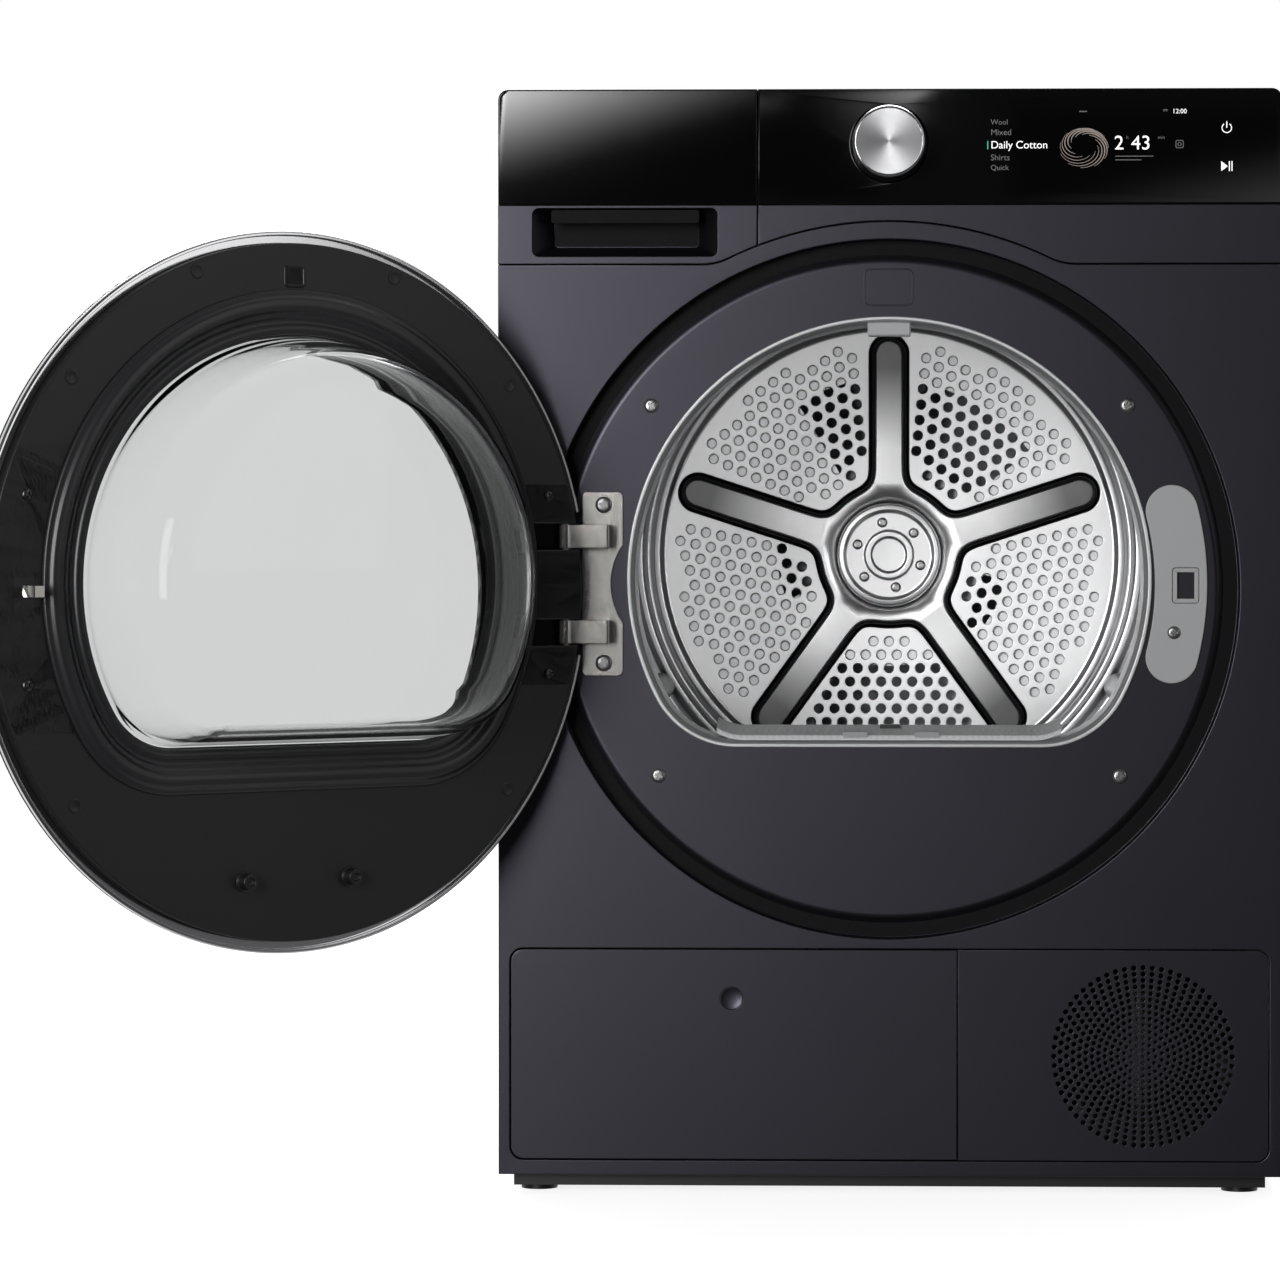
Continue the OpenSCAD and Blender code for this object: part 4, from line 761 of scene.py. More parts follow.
# ---- Door seat: collar, lint sill, latch and hinge plate ----
# A light moulded collar lines the opening and holds the textured lint-filter sill. The lock
# shows through a grey kidney-shaped plate; the hinge is stamped nickel-plated steel.

BULK = FRONT + 71.0
collar_metal = finish("collar_satin", (0.36, 0.365, 0.37), metal=0.6, rough=0.38, grain=500.0,
                      bump=0.02, vary=0.05)
port_line = d_line(PORT_R, PORT_FLAT, PORT_CORNER)
collar = make_piece("port_collar", *carried(port_line, softened(
    [(-6.0, BULK), (-6.0, SEAT + 8.0), (-4.4, SEAT + 6.0), (-4.4, SEAT + 0.5),
     (-3.0, SEAT - 2.0), (-0.4, SEAT - 2.0), (0.0, SEAT - 1.0), (0.0, SEAT), (-3.6, SEAT),
     (-3.6, BULK)], [0, 1, 1, 1, 0.8, 0.6, 0.5, 0, 0, 0])), collar_metal, "cabinet",
    "light_plastic")
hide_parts("porthole_collar")

lamp_grey = finish("lamp_housing_grey", (0.50, 0.505, 0.51), rough=0.36, grain=900.0, bump=0.05,
                   vary=0.04)
PORT_TOP = PORT_Z + PORT_R
lamp_block = carried(round_rect_line(-16.5, PORT_TOP - 15.0, 16.5, PORT_TOP - 4.6, 1.6),
                     softened([(-1.0, SEAT + 0.4), (0.0, SEAT + 1.4), (0.0, SEAT + 26.0)], 0,
                              closed=False), closed=False)
make_piece("drum_lamp_housing", *lamp_block, lamp_grey, "cabinet", "light_plastic")


def textured_grey(name, colour, pitch):
    """Light plastic with a fine woven texture: two crossed waves raise small diamonds."""
    mat = finish(name, colour, rough=0.45, grain=700.0, bump=0.05, vary=0.06)
    nodes, links = mat.node_tree.nodes, mat.node_tree.links
    shader, relief = nodes["Principled BSDF"], nodes["Bump"]
    place = nodes["Texture Coordinate"]
    heights = []
    for turn in (0.7, -0.7):
        spin = nodes.new("ShaderNodeMapping")
        spin.inputs["Rotation"].default_value = (0.0, turn, 0.0)
        wave = nodes.new("ShaderNodeTexWave")
        wave.inputs["Scale"].default_value = 1 / pitch
        links.new(place.outputs["Object"], spin.inputs["Vector"])
        links.new(spin.outputs["Vector"], wave.inputs["Vector"])
        heights.append(wave.outputs["Fac"])
    both = nodes.new("ShaderNodeMath")
    both.operation = "MULTIPLY"
    links.new(heights[0], both.inputs[0])
    links.new(heights[1], both.inputs[1])
    links.new(both.outputs[0], relief.inputs["Height"])
    relief.inputs["Strength"].default_value = 0.5
    relief.inputs["Distance"].default_value = 0.0006
    return mat


light_plastic = finish("light_grey_plastic", (0.36, 0.365, 0.37), rough=0.42, grain=900.0,
                       bump=0.06, vary=0.05)
sill_grey = textured_grey("lint_sill_grey", (0.44, 0.445, 0.45), 0.012)
recoat(light_plastic, "lint_filter", "filter_duct")
SILL_X = np.linspace(-132.0, 132.0, 89)
sill_profile = softened([(SEAT + 3.0, 347.9), (SEAT + 4.5, 351.0), (BULK - 14.0, 357.5),
                         (BULK - 9.0, 356.0), (BULK - 9.0, 349.2), (SEAT + 3.0, 347.0)], 1.2)
lift = np.maximum(0.0, np.abs(SILL_X) - 112.0) ** 2 / 70.0
sill_rows = [np.stack([np.full(len(sill_profile), x), sill_profile[:, 0],
                       sill_profile[:, 1] + up], 1) for x, up in zip(SILL_X, lift)]
make_piece("lint_sill", np.concatenate(sill_rows), capped(len(sill_rows), len(sill_profile)),
           sill_grey, "cabinet", "light_plastic", crease=40.0)
for k, x in enumerate((-26.0, 29.0)):
    tab = carried(round_rect_line(x - 9.5, 349.4, x + 9.5, 353.6, 1.6),
                  softened([(0, SEAT + 2.2), (0, SEAT + 22.0)], 0, closed=False), closed=False)
    make_piece(f"finger_tab_{k}", *tab, light_plastic, "cabinet", "light_plastic")
# a near-black block fills the notch at the top of the sill: painted shade in the notch
notch_shade_block = carried(round_rect_line(-7.0, 353.4, 9.0, 357.9, 0.8),
                      [(0, BULK - 30.0), (0, BULK - 12.0)], closed=False)
black_plastic = finish("black_plastic", (0.016, 0.016, 0.017), rough=0.40, grain=1300.0,
                       bump=0.10, vary=0.12)
make_piece("sill_notch_shade", *notch_shade_block, black_plastic, "cabinet", "light_plastic")

HINGE_Z = DOOR_Z + 4.0
LATCH_X = PORT_R + 25.6
kidney_mid, kidney_end = LATCH_X - 3.5, 20.0
ends = [(kidney_mid * math.cos(math.radians(s * 14.5)),
         HINGE_Z + kidney_mid * math.sin(math.radians(s * 14.5))) for s in (-1, 1)]
kidney_line = np.concatenate([
    arc(0, HINGE_Z, kidney_mid + kidney_end, -14.5, 14.5, 30),
    arc(*ends[1], kidney_end, 14.5, 194.5, 24)[1:-1],
    arc(0, HINGE_Z, kidney_mid - kidney_end, 14.5, -14.5, 26),
    arc(*ends[0], kidney_end, 165.5, 345.5, 24)[1:-1]])
lock_line = round_rect_line(LATCH_X - 9.75, HINGE_Z - 14.3, LATCH_X + 9.75, HINGE_Z + 12.3, 2.0,
                            5)
latch_grey = finish("latch_plate_grey", (0.47, 0.474, 0.48), rough=0.48, grain=1100.0, bump=0.08,
                    vary=0.05)
latch_plate = pressed_sheet("latch_cover", kidney_line, [grown(lock_line, 0.3)], SEAT - 2.0,
                            2.0, 0.9, latch_grey, "cabinet")
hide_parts("latch_plate")
lock_frame = make_piece("lock_frame", *carried(lock_line, softened(
    [(0.0, SEAT - 2.8), (-3.2, SEAT - 2.8), (-3.6, SEAT + 20.0), (0.0, SEAT + 20.0)],
    [0.5, 0.6, 0, 0])), latch_grey, "cabinet", "black_plastic")
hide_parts("door_lock")
lock_case = carried(grown(lock_line, 4.0), [(0, SEAT + 20.0), (0, SEAT + 30.0)], closed=False)
make_piece("lock_case", *lock_case, black_plastic, "cabinet", "black_plastic")
striker = carried(round_rect_line(LATCH_X - 5.0, HINGE_Z - 7.0, LATCH_X + 5.0, HINGE_Z - 3.6,
                                  1.2, 4), [(0, SEAT + 6.0), (0, SEAT + 20.5)], closed=False)
nickel = finish("nickel_plate", (0.62, 0.60, 0.57), metal=1.0, rough=0.24, grain=300.0,
                bump=0.03, vary=0.06)
make_piece("lock_striker", *striker, nickel, "cabinet", "black_plastic")

joints = {joint["name"]: joint for joint in frame["record"]["behaviour"]["joints"]}
HINGE_X, HINGE_Y = [v / MM for v in joints["door_hinge"]["pos_m"][:2]]
ARM_Z = [HINGE_Z - 36.45, HINGE_Z + 36.45]
right, waist = HINGE_X + 43.3, 53.0
bite = math.degrees(math.asin(math.sqrt(waist ** 2 - (HINGE_X + 87 - right) ** 2) / waist))
plate_line = np.concatenate([
    arc(HINGE_X + 16, HINGE_Z - 66.6, 4, 180, 270, 7), arc(right - 4, HINGE_Z - 66.6, 4, 270,
                                                           360, 7),
    arc(HINGE_X + 87, HINGE_Z, waist, 180 + bite, 180 - bite, 24),
    arc(right - 4, HINGE_Z + 66.6, 4, 0, 90, 7), arc(HINGE_X + 16, HINGE_Z + 66.6, 4, 90, 180,
                                                     7)])
hinge_plate = pressed_sheet("hinge_plate_nickel", plate_line, [], SEAT - 1.5, 1.5, 0.6, nickel,
                            "cabinet")
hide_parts("hinge_plate")
# an arm in plan: the barrel round the pin, a bar and the lug to the plate
arm_plan = softened(np.concatenate([
    arc(HINGE_X, HINGE_Y, 5.4, 28, 332, 30),
    [[HINGE_X + 34.0, HINGE_Y - 2.5], [HINGE_X + 34.0, SEAT - 1.5],
     [HINGE_X + 22.0, SEAT - 1.5], [HINGE_X + 22.0, HINGE_Y + 2.5]]]),
    [0] * 30 + [2.4, 0, 0, 3.0])
arms = []
for z in ARM_Z:
    arm, arm_faces = carried(arm_plan, [(-0.8, z - 9.0), (-0.2, z - 8.8), (0.0, z - 8.2),
                                        (0.0, z + 8.2), (-0.2, z + 8.8), (-0.8, z + 9.0)],
                             closed=False)
    arms.append((arm[:, [0, 2, 1]], arm_faces))
make_piece("hinge_arms", *joined(*arms), nickel, "cabinet", "stainless")


# ---- Screws of the seat ----
# Countersunk cross-head screws, zinc plated: a domed head with a cross-shaped recess.

def screw_head(cx, cz, y, r, turn=0.0, out=-1.0):
    """A screw head on the plane y that faces -Y (out -1) or +Y (out 1): rings from the rim over
    the dome to a cross, whose radius in each direction is that of two crossed bars."""
    a = np.linspace(0, 2 * np.pi, 96, endpoint=False)
    c = np.abs(np.cos(a - turn))
    s = np.abs(np.sin(a - turn))
    arm, half = 0.56 * r, 0.15 * r
    cross = np.maximum(np.minimum(arm / np.maximum(c, 1e-6), half / np.maximum(s, 1e-6)),
                       np.minimum(arm / np.maximum(s, 1e-6), half / np.maximum(c, 1e-6)))
    rings = [(np.full(96, r * 0.8), 0.2), (np.full(96, r), 0.2), (np.full(96, r), 0.7),
             (np.full(96, r * 0.93), 1.3), (np.full(96, r * 0.78), 1.8),
             (np.full(96, r * 0.64), 2.05), (cross, 2.1), (cross * 0.9, 0.9)]
    points = [np.stack([cx + q * np.cos(a), np.full(96, y + out * up), cz + q * np.sin(a)], 1)
              for q, up in rings]
    return np.concatenate(points), capped(len(rings), len(a))


zinc = finish("zinc_screws", (0.34, 0.34, 0.34), metal=1.0, rough=0.34, grain=500.0, bump=0.05,
              vary=0.1)
turns = np.random.default_rng(7).uniform(0, 1.5, 12)
seat_screws = [screw_head(x, z, SEAT, 5.5, t) for (x, z), t in
               zip([(-182, 603.5), (182, 603.5), (-176.5, 320), (176.5, 320)], turns)]
seat_screws += [screw_head(HINGE_X + 28.5, HINGE_Z + s * 60.6, SEAT - 1.4, 6.4, turns[4 + s])
                for s in (-1, 1)]
seat_screws.append(screw_head(LATCH_X - 9.0, HINGE_Z - 37.0, SEAT - 1.9, 5.0, turns[6]))
cabinet_screws = make_piece("seat_screws", *joined(*seat_screws), zinc, "cabinet", "fasteners")
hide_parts("cabinet_screws")


# ---- Service flap, grille and base ----
# The flap and the grille are painted mouldings in one frame. The flap is pushed at a shallow
# dimple to spring its catch; the grille has a round field of fine holes in rings.

flap_left = np.concatenate([arc(-FLAP_W + 9.4, FLAP_HIGH - 9.4, 9.4, 90, 180, 9),
                            arc(-FLAP_W + 9.4, FLAP_LOW + 9.4, 9.4, 180, 270, 9)])
FLAP_SPLIT = 52.5
flap_line = np.concatenate([flap_left, [[FLAP_SPLIT - SEAM / 2, FLAP_LOW],
                                        [FLAP_SPLIT - SEAM / 2, FLAP_HIGH]]])
DIMPLE = (-120.4, 150.0, 8.4)
flap = pressed_sheet("flap_panel", flap_line, [circle_line(*DIMPLE, 60)], FRONT, 3.0, 0.8,
                     anthracite, "flap")
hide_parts("service_flap")
make_piece("flap_dimple", *turned(softened(
    [(0.0, FRONT + 1.5), (5.5, FRONT + 1.1), (DIMPLE[2], FRONT + 0.4),
     (DIMPLE[2] + 0.3, FRONT + 2.6), (0.0, FRONT + 2.6)], [0, 2, 0.3, 0, 0], closed=False),
    *DIMPLE[:2], 60, closed=False),
    anthracite, "flap", "painted_steel")
GRILLE = ((FLAP_SPLIT + FLAP_W) / 2 + 23.0, 106.4, 69.0)
grille_line = np.concatenate([[[FLAP_SPLIT + SEAM / 2, FLAP_HIGH],
                               [FLAP_SPLIT + SEAM / 2, FLAP_LOW]],
                              arc(FLAP_W - 9.4, FLAP_LOW + 9.4, 9.4, -90, 0, 9),
                              arc(FLAP_W - 9.4, FLAP_HIGH - 9.4, 9.4, 0, 90, 9)])
RINGS = 14
grille_holes = []
for ring in range(RINGS + 1):
    count = max(1, 6 * ring if ring < 9 else 48 + 2 * (ring - 8))
    size = 1.15 + 0.75 * (ring / RINGS) ** 0.8
    for k in range(count):
        a = 2 * math.pi * (k + 0.5 * (ring % 2)) / count
        r = GRILLE[2] * 0.985 * ring / RINGS
        grille_holes.append(circle_line(GRILLE[0] + r * math.cos(a), GRILLE[1] + r * math.sin(a),
                                        size, 10))
grille = pressed_sheet("grille_plate", grille_line, grille_holes, FRONT, 3.0, 0.35, anthracite,
                       "cabinet")
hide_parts("grille_panel")
recoat(black_plastic, "base_tray", "feet")


# ---- Drum ----
# Stainless steel: a punched back plate, a pressed five-armed spider with a moat round each arm,
# a hub with six screws, a plain shell, and three moulded lifters.

DRUM_Z = joints["drum_spin"]["pos_m"][2] / MM
STAR_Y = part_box("star_plate")[1][1] / MM - 1.0
DRUM_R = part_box("drum_shell")[1][0] / MM
DRUM_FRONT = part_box("drum_shell")[0][1] / MM
HUB_R, MOAT_END, MOAT_HALF, MOAT_HUB = 44.5, 190.0, 17.2, 63.5


def spider_line(count=1500):
    """The moat's outer edge about the drum's axis: in each direction the larger of the hub's
    disc and the nearest arm, which is a band with a round end; even steps, then the inner
    corners relaxed into fillets."""
    a = np.linspace(0, 2 * np.pi, 40000, endpoint=False)
    off = np.abs((a - np.pi / 2 + np.pi / 5) % (2 * np.pi / 5) - np.pi / 5)
    cap = MOAT_END - MOAT_HALF
    across = cap * np.sin(off)
    tip = cap * np.cos(off) + np.sqrt(np.maximum(MOAT_HALF ** 2 - across ** 2, 0))
    side = MOAT_HALF / np.maximum(np.sin(off), 1e-6)
    reach = np.maximum(MOAT_HUB, np.where(across < MOAT_HALF, tip, side))
    line = np.stack([reach * np.cos(a), reach * np.sin(a)], 1)
    run = np.concatenate([[0], np.cumsum(np.linalg.norm(np.diff(line, axis=0, append=line[:1]),
                                                        axis=1))])
    even = np.linspace(0, run[-1], count, endpoint=False)
    line = np.stack([np.interp(even, run, np.append(line[:, k], line[0, k])) for k in (0, 1)], 1)
    for _ in range(90):
        near = (np.linalg.norm(line, axis=1) < 92)[:, None] * 0.5
        line = line + near * ((np.roll(line, 1, 0) + np.roll(line, -1, 0)) / 2 - line)
    return line + [0.0, DRUM_Z]


def darker_outwards(mat, near, far, low):
    """Lets a finish fall from its full colour, near metres from the drum's axis, to the share
    low of it at far: painted shade, darker towards the arms' ends."""
    nodes, links = mat.node_tree.nodes, mat.node_tree.links
    flat = nodes.new("ShaderNodeMapping")
    flat.inputs["Scale"].default_value = (1.0, 0.0, 1.0)
    away = nodes.new("ShaderNodeVectorMath")
    away.operation = "DISTANCE"
    away.inputs[1].default_value = (0.0, 0.0, DRUM_Z * MM)
    fall = nodes.new("ShaderNodeMapRange")
    for socket, value in (("From Min", near), ("From Max", far), ("To Min", 1.0),
                          ("To Max", low)):
        fall.inputs[socket].default_value = value
    shade = nodes.new("ShaderNodeVectorMath")
    shade.operation = "SCALE"
    links.new(nodes["Texture Coordinate"].outputs["Object"], flat.inputs["Vector"])
    links.new(flat.outputs["Vector"], away.inputs[0])
    links.new(away.outputs["Value"], fall.inputs["Value"])
    links.new(nodes["Mix"].outputs["Result"], shade.inputs[0])
    links.new(fall.outputs["Result"], shade.inputs["Scale"])
    links.new(shade.outputs["Vector"], nodes["Principled BSDF"].inputs["Base Color"])


def steel(name, colour, rough, grain, bump, stretch=(1, 1, 1), vary=0.06):
    """Bare stainless steel with a fine rolled grain."""
    return finish(name, colour, metal=1.0, rough=rough, grain=grain, bump=bump, vary=vary,
                  stretch=stretch, drift=14.0)


drum_steel = steel("drum_stainless", (0.68, 0.68, 0.685), 0.42, 700.0, 0.05, (1, 1, 0.15))
spider_steel = steel("spider_stainless", (0.66, 0.66, 0.665), 0.34, 600.0, 0.02, (1, 1, 0.2))
moat = spider_line()
PERF_R, PERF_PITCH = 4.0, 13.4
row_step = PERF_PITCH * math.sqrt(3) / 2
i, j = np.meshgrid(np.arange(-14, 15), np.arange(0, 17), indexing="ij")
px, pz = (j + 0.5) * row_step + HUB_R / 2, (i + (j % 2) / 2) * PERF_PITCH
reach = np.hypot(px, pz)
clear = px * math.sin(math.radians(36)) - np.abs(pz) * math.cos(math.radians(36))
kept = (reach < 181) & (reach > 71) & (clear > 22)
sector = np.stack([px[kept], pz[kept]], 1)
centres = np.concatenate([
    sector @ np.array([[math.cos(a), math.sin(a)], [-math.sin(a), math.cos(a)]])
    for a in np.radians(126 + 72 * np.arange(5))]) + [0.0, DRUM_Z]
to_moat = np.linalg.norm(centres[:, None] - moat, axis=2).min(1)
punched = [circle_line(x, z, PERF_R, 18) for x, z in centres[to_moat > PERF_R + 2.0]]
back_plate = pressed_sheet("drum_back_plate", circle_line(0, DRUM_Z, 192.5, 240),
                           [moat] + punched, STAR_Y, 1.6, 0.8, drum_steel, "drum",
                           crease=60.0)
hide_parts("star_plate")


def sector_line(a0, a1, r0, r1):
    """A window bounded by two arcs about the drum's axis and two spokes, corners rounded."""
    outer = arc(0, DRUM_Z, r1, a0, a1, 14)
    inner = arc(0, DRUM_Z, r0, a1, a0, 14)
    return softened([tuple(p) for p in np.concatenate([outer, inner])], 1.5)


baffle_windows = [sector_line(*w) for w in ((93, 121, 54, 152), (36, 85, 60, 150),
                                            (172, 204, 66, 96), (-46, -12, 66, 102),
                                            (241, 299, 96, 172))]
baffle_metal = steel("baffle_galvanised", (0.55, 0.555, 0.56), 0.42, 500.0, 0.04)
pressed_sheet("drum_rear_baffle", circle_line(0, DRUM_Z, 187.0, 120),
              [circle_line(0, DRUM_Z, 48.0, 60)] + baffle_windows, STAR_Y + 5.0, 1.0, 0.3,
              baffle_metal, "cabinet")
arm_rings = [(0.4, 0.3), (-0.4, 1.8), (-1.1, 3.6), (-2.0, 4.4), (-3.8, 4.4), (-4.5, 3.0),
             (-5.0, -1.6), (-5.4, -3.9), (-6.0, -4.8), (-7.0, -5.2)]
rings = [(g, STAR_Y + y) for g, y in arm_rings]
# the moat walls are near-black steel: painted shade down in the moats round the arms
moat_painted_shade = steel("moat_shadow", (0.028, 0.028, 0.029), 0.32, 300.0, 0.02)
moat_points, moat_faces = carried(moat, rings[:8], closed=False)
moat_wall = make_piece("drum_moat", moat_points, moat_faces[:-2], moat_painted_shade, "drum",
                       "stainless", crease=50.0)
lip_points, lip_faces = carried(moat, rings[7:], closed=False)
top_lines = [grown(moat, -7.0), circle_line(0, DRUM_Z, HUB_R - 0.5, 120)]
arm_top = (np.insert(np.concatenate(top_lines), 1, STAR_Y - 5.2, axis=1),
           between(top_lines).tolist())
# the spider's colour gets painted shade, a painted fall of its reflection that darkens towards the
# arms' ends
darker_outwards(spider_steel, 0.092, 0.160, 0.22)
spider = make_piece("drum_spider", *joined((lip_points, lip_faces[:-2]), arm_top),
                    spider_steel, "drum", "stainless", crease=50.0)
SPIDER_SHEET = 0.0008
for part in (moat_wall, spider):
    sheet = part.modifiers.new("sheet", "SOLIDIFY")
    sheet.thickness, sheet.offset = SPIDER_SHEET, -1.0
rim_profile = softened([(191.5, STAR_Y), (194.0, STAR_Y), (196.5, STAR_Y - 4.0),
                        (202.0, STAR_Y - 4.5), (205.0, STAR_Y - 0.5), (208.5, STAR_Y - 0.5),
                        (211.5, STAR_Y - 5.5), (217.0, STAR_Y - 6.0), (220.5, STAR_Y - 1.0),
                        (226.0, STAR_Y - 1.0), (231.0, STAR_Y - 6.0), (DRUM_R - 1.4, STAR_Y - 6.0),
                        (DRUM_R - 1.4, STAR_Y + 1.0), (191.5, STAR_Y + 1.6)], 1.8)
# the back rim is the drum's stainless drawn darker: painted shade round the back plate's edge
rim_painted_shade_steel = steel("rim_stainless_painted_shade", (0.34, 0.34, 0.345), 0.32, 400.0, 0.02)
make_piece("drum_back_rim", *turned(rim_profile, 0, DRUM_Z, 240), rim_painted_shade_steel, "drum",
           "stainless", crease=50.0)
shell_profile = softened([(PORT_R + 44.0, DRUM_FRONT), (DRUM_R - 3.0, DRUM_FRONT),
                          (DRUM_R, DRUM_FRONT + 3.0), (DRUM_R, STAR_Y + 8.0),
                          (228.0, STAR_Y + 8.0), (228.0, STAR_Y + 7.0),
                          (DRUM_R - 1.0, STAR_Y + 7.0), (DRUM_R - 1.0, DRUM_FRONT + 3.4),
                          (DRUM_R - 3.4, DRUM_FRONT + 1.0), (PORT_R + 44.0, DRUM_FRONT + 1.0)],
                         0.4)
# the shell is the drum's stainless drawn darker: painted shade on the drum's inner wall
wall_painted_shade_steel = steel("wall_stainless_painted_shade", (0.42, 0.42, 0.425), 0.38, 700.0, 0.05, (1, 1, 0.15))
shell = make_piece("drum_wall", *turned(shell_profile, 0, DRUM_Z, 240), wall_painted_shade_steel, "drum",
                   "stainless")
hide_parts("drum_shell")

hub_profile = softened([(0.0, STAR_Y - 5.6), (14.4, STAR_Y - 5.6), (15.6, STAR_Y - 8.4),
                        (20.2, STAR_Y - 8.4), (21.4, STAR_Y - 6.3), (36.4, STAR_Y - 6.3),
                        (37.6, STAR_Y - 7.2), (39.0, STAR_Y - 9.2), (43.0, STAR_Y - 8.6),
                        (HUB_R, STAR_Y - 6.4), (HUB_R, STAR_Y - 4.6), (HUB_R - 6.0, STAR_Y - 4.0),
                        (0.0, STAR_Y - 4.0)], 0.9, closed=False)
hub = make_piece("drum_hub_cap", *turned(hub_profile, 0, DRUM_Z, 140, closed=False),
                 spider_steel, "drum", "stainless", crease=40.0)
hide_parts("drum_hub")
# the thin ring in the joint round the hub is the same near-black steel: painted shade in the gap
make_piece("hub_joint", *turned(softened(
    [(HUB_R - 0.2, STAR_Y - 5.6), (HUB_R + 1.3, STAR_Y - 5.6), (HUB_R + 1.3, STAR_Y - 4.6),
     (HUB_R - 0.2, STAR_Y - 4.6)], 0.3), 0, DRUM_Z, 120), moat_painted_shade, "drum", "stainless")
hub_screws = []
for k in range(6):
    a = math.radians(41.7 + 60 * k)
    cx, cz = 28.4 * math.cos(a), DRUM_Z + 28.4 * math.sin(a)
    hub_screws.append(screw_head(cx, cz, STAR_Y - 6.3, 4.4, k * 0.5))
make_piece("hub_screws", *joined(*hub_screws), zinc, "drum", "stainless")

lifter_grey = finish("lifter_grey", (0.42, 0.425, 0.43), rough=0.40, grain=900.0, bump=0.05,
                     vary=0.05)
wedge = softened([(-34.0, DRUM_R - 2.6), (-13.0, DRUM_R - 58.0), (-7.5, DRUM_R - 69.0),
                  (7.5, DRUM_R - 69.0), (13.0, DRUM_R - 58.0), (34.0, DRUM_R - 2.6)],
                 [0, 14, 5, 5, 14, 0])
lifters = []
for a in (90, 210, 330):
    t = math.radians(a - 90)
    line = wedge @ np.array([[math.cos(t), math.sin(t)], [-math.sin(t), math.cos(t)]]) + [
        0.0, DRUM_Z]
    lifters.append(carried(line, [(-4.0, DRUM_FRONT + 9.0), (-1.0, DRUM_FRONT + 10.5),
                                  (0.0, DRUM_FRONT + 14.0), (0.0, STAR_Y - 6.5)],
                           closed=False))
lifter_set = make_piece("drum_lifter_set", *joined(*lifters), lifter_grey, "drum",
                        "light_plastic")
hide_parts("drum_lifters")
for name in ("drum_back_plate", "drum_spider", "drum_moat", "drum_back_rim", "drum_wall",
             "drum_hub_cap", "hub_joint", "hub_screws", "drum_lifter_set", "drum_rear_baffle",
             "port_collar", "lint_sill"):
    drum_reach.objects.link(bpy.data.objects[name])
for name in ("drum_back_plate", "drum_spider", "drum_hub_cap", "drum_lifter_set"):
    drum_shade.objects.link(bpy.data.objects[name])


# ---- Door ----
# Drawn closed and swung open about the hinge. A moulded black inner panel carries the seal and
# the clear bowl; a domed gloss cover and a bright turned ring close the outside.

DOOR_TURN = math.radians(joints["door_hinge"]["range_deg"][1])
Y_IN = SEAT - 9.5
BOWL_R = PORT_R - 21.0
DOOR_T = 43.0


def at_open(points):
    """Closed-door points turned by the full opening angle about the hinge's upright axis."""
    p = np.asarray(points, float)
    x, y = p[:, 0] - HINGE_X, p[:, 1] - HINGE_Y
    c, s = math.cos(DOOR_TURN), -math.sin(DOOR_TURN)
    return np.stack([HINGE_X + c * x - s * y, HINGE_Y + s * x + c * y, p[:, 2]], 1)


def from_inside(points):
    """Points mirrored in the door's inner face, then swung open: a sheet drawn to face the
    front faces the drum."""
    p = np.array(points, float)
    p[:, 1] = 2 * Y_IN - p[:, 1]
    return at_open(p)


def door_piece(name, shape, mat, slot, crease=30.0):
    """A piece of the door from (points, faces) drawn closed."""
    return make_piece(name, at_open(shape[0]), shape[1], mat, "door", slot, crease)


def bowl_line(g):
    """The bowl's outline pulled in by g."""
    return d_line(BOWL_R - g, PORT_FLAT + 10.0 + g, PORT_CORNER - 14.0 - g / 2)


panel_black = finish("door_panel_black", (0.0125, 0.0125, 0.013), rough=0.40, grain=1500.0,
                     bump=0.12, vary=0.10)
PANEL_R = DOOR_R - 9.0
SLOT_IN, SLOT_HALF = HINGE_X + 38.0, 10.0


def notched_circle(r):
    """The inner panel's edge: a circle with a notch for each hinge arm on the hinge side."""
    def side(z):
        return 180.0 - math.degrees(math.asin((z - DOOR_Z) / r))
    low, high = ARM_Z
    marks = [side(z) for z in (high + SLOT_HALF, high - SLOT_HALF, low + SLOT_HALF,
                               low - SLOT_HALF)]
    runs = [arc(0, DOOR_Z, r, -90, 90, 130)[:-1], arc(0, DOOR_Z, r, 90, marks[0], 50)]
    runs += [np.array([[SLOT_IN, high + SLOT_HALF], [SLOT_IN, high - SLOT_HALF]]),
             arc(0, DOOR_Z, r, marks[1], marks[2], 12),
             np.array([[SLOT_IN, low + SLOT_HALF], [SLOT_IN, low - SLOT_HALF]]),
             arc(0, DOOR_Z, r, marks[3], 270, 50)[:-1]]
    return np.concatenate(runs)


inner_panel = pressed_sheet("door_panel", notched_circle(PANEL_R), [bowl_line(0.4)], Y_IN, 3.0,
                            1.2, panel_black, "door", place=from_inside)
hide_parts("door_inner_panel")
skirt_from, skirt_to = 191.0, 527.0
skirt_angles = np.radians(np.linspace(skirt_from, skirt_to, 260))


def part_turned(profile, cx, cz, angles):
    """A closed profile of (radius, y) swept about an axis along Y over the given angles, with
    its two ends capped."""
    p = np.asarray(profile, float)
    rows = [np.stack([cx + p[:, 0] * math.cos(a), p[:, 1], cz + p[:, 0] * math.sin(a)], 1)
            for a in angles]
    return np.concatenate(rows), capped(len(rows), len(p))


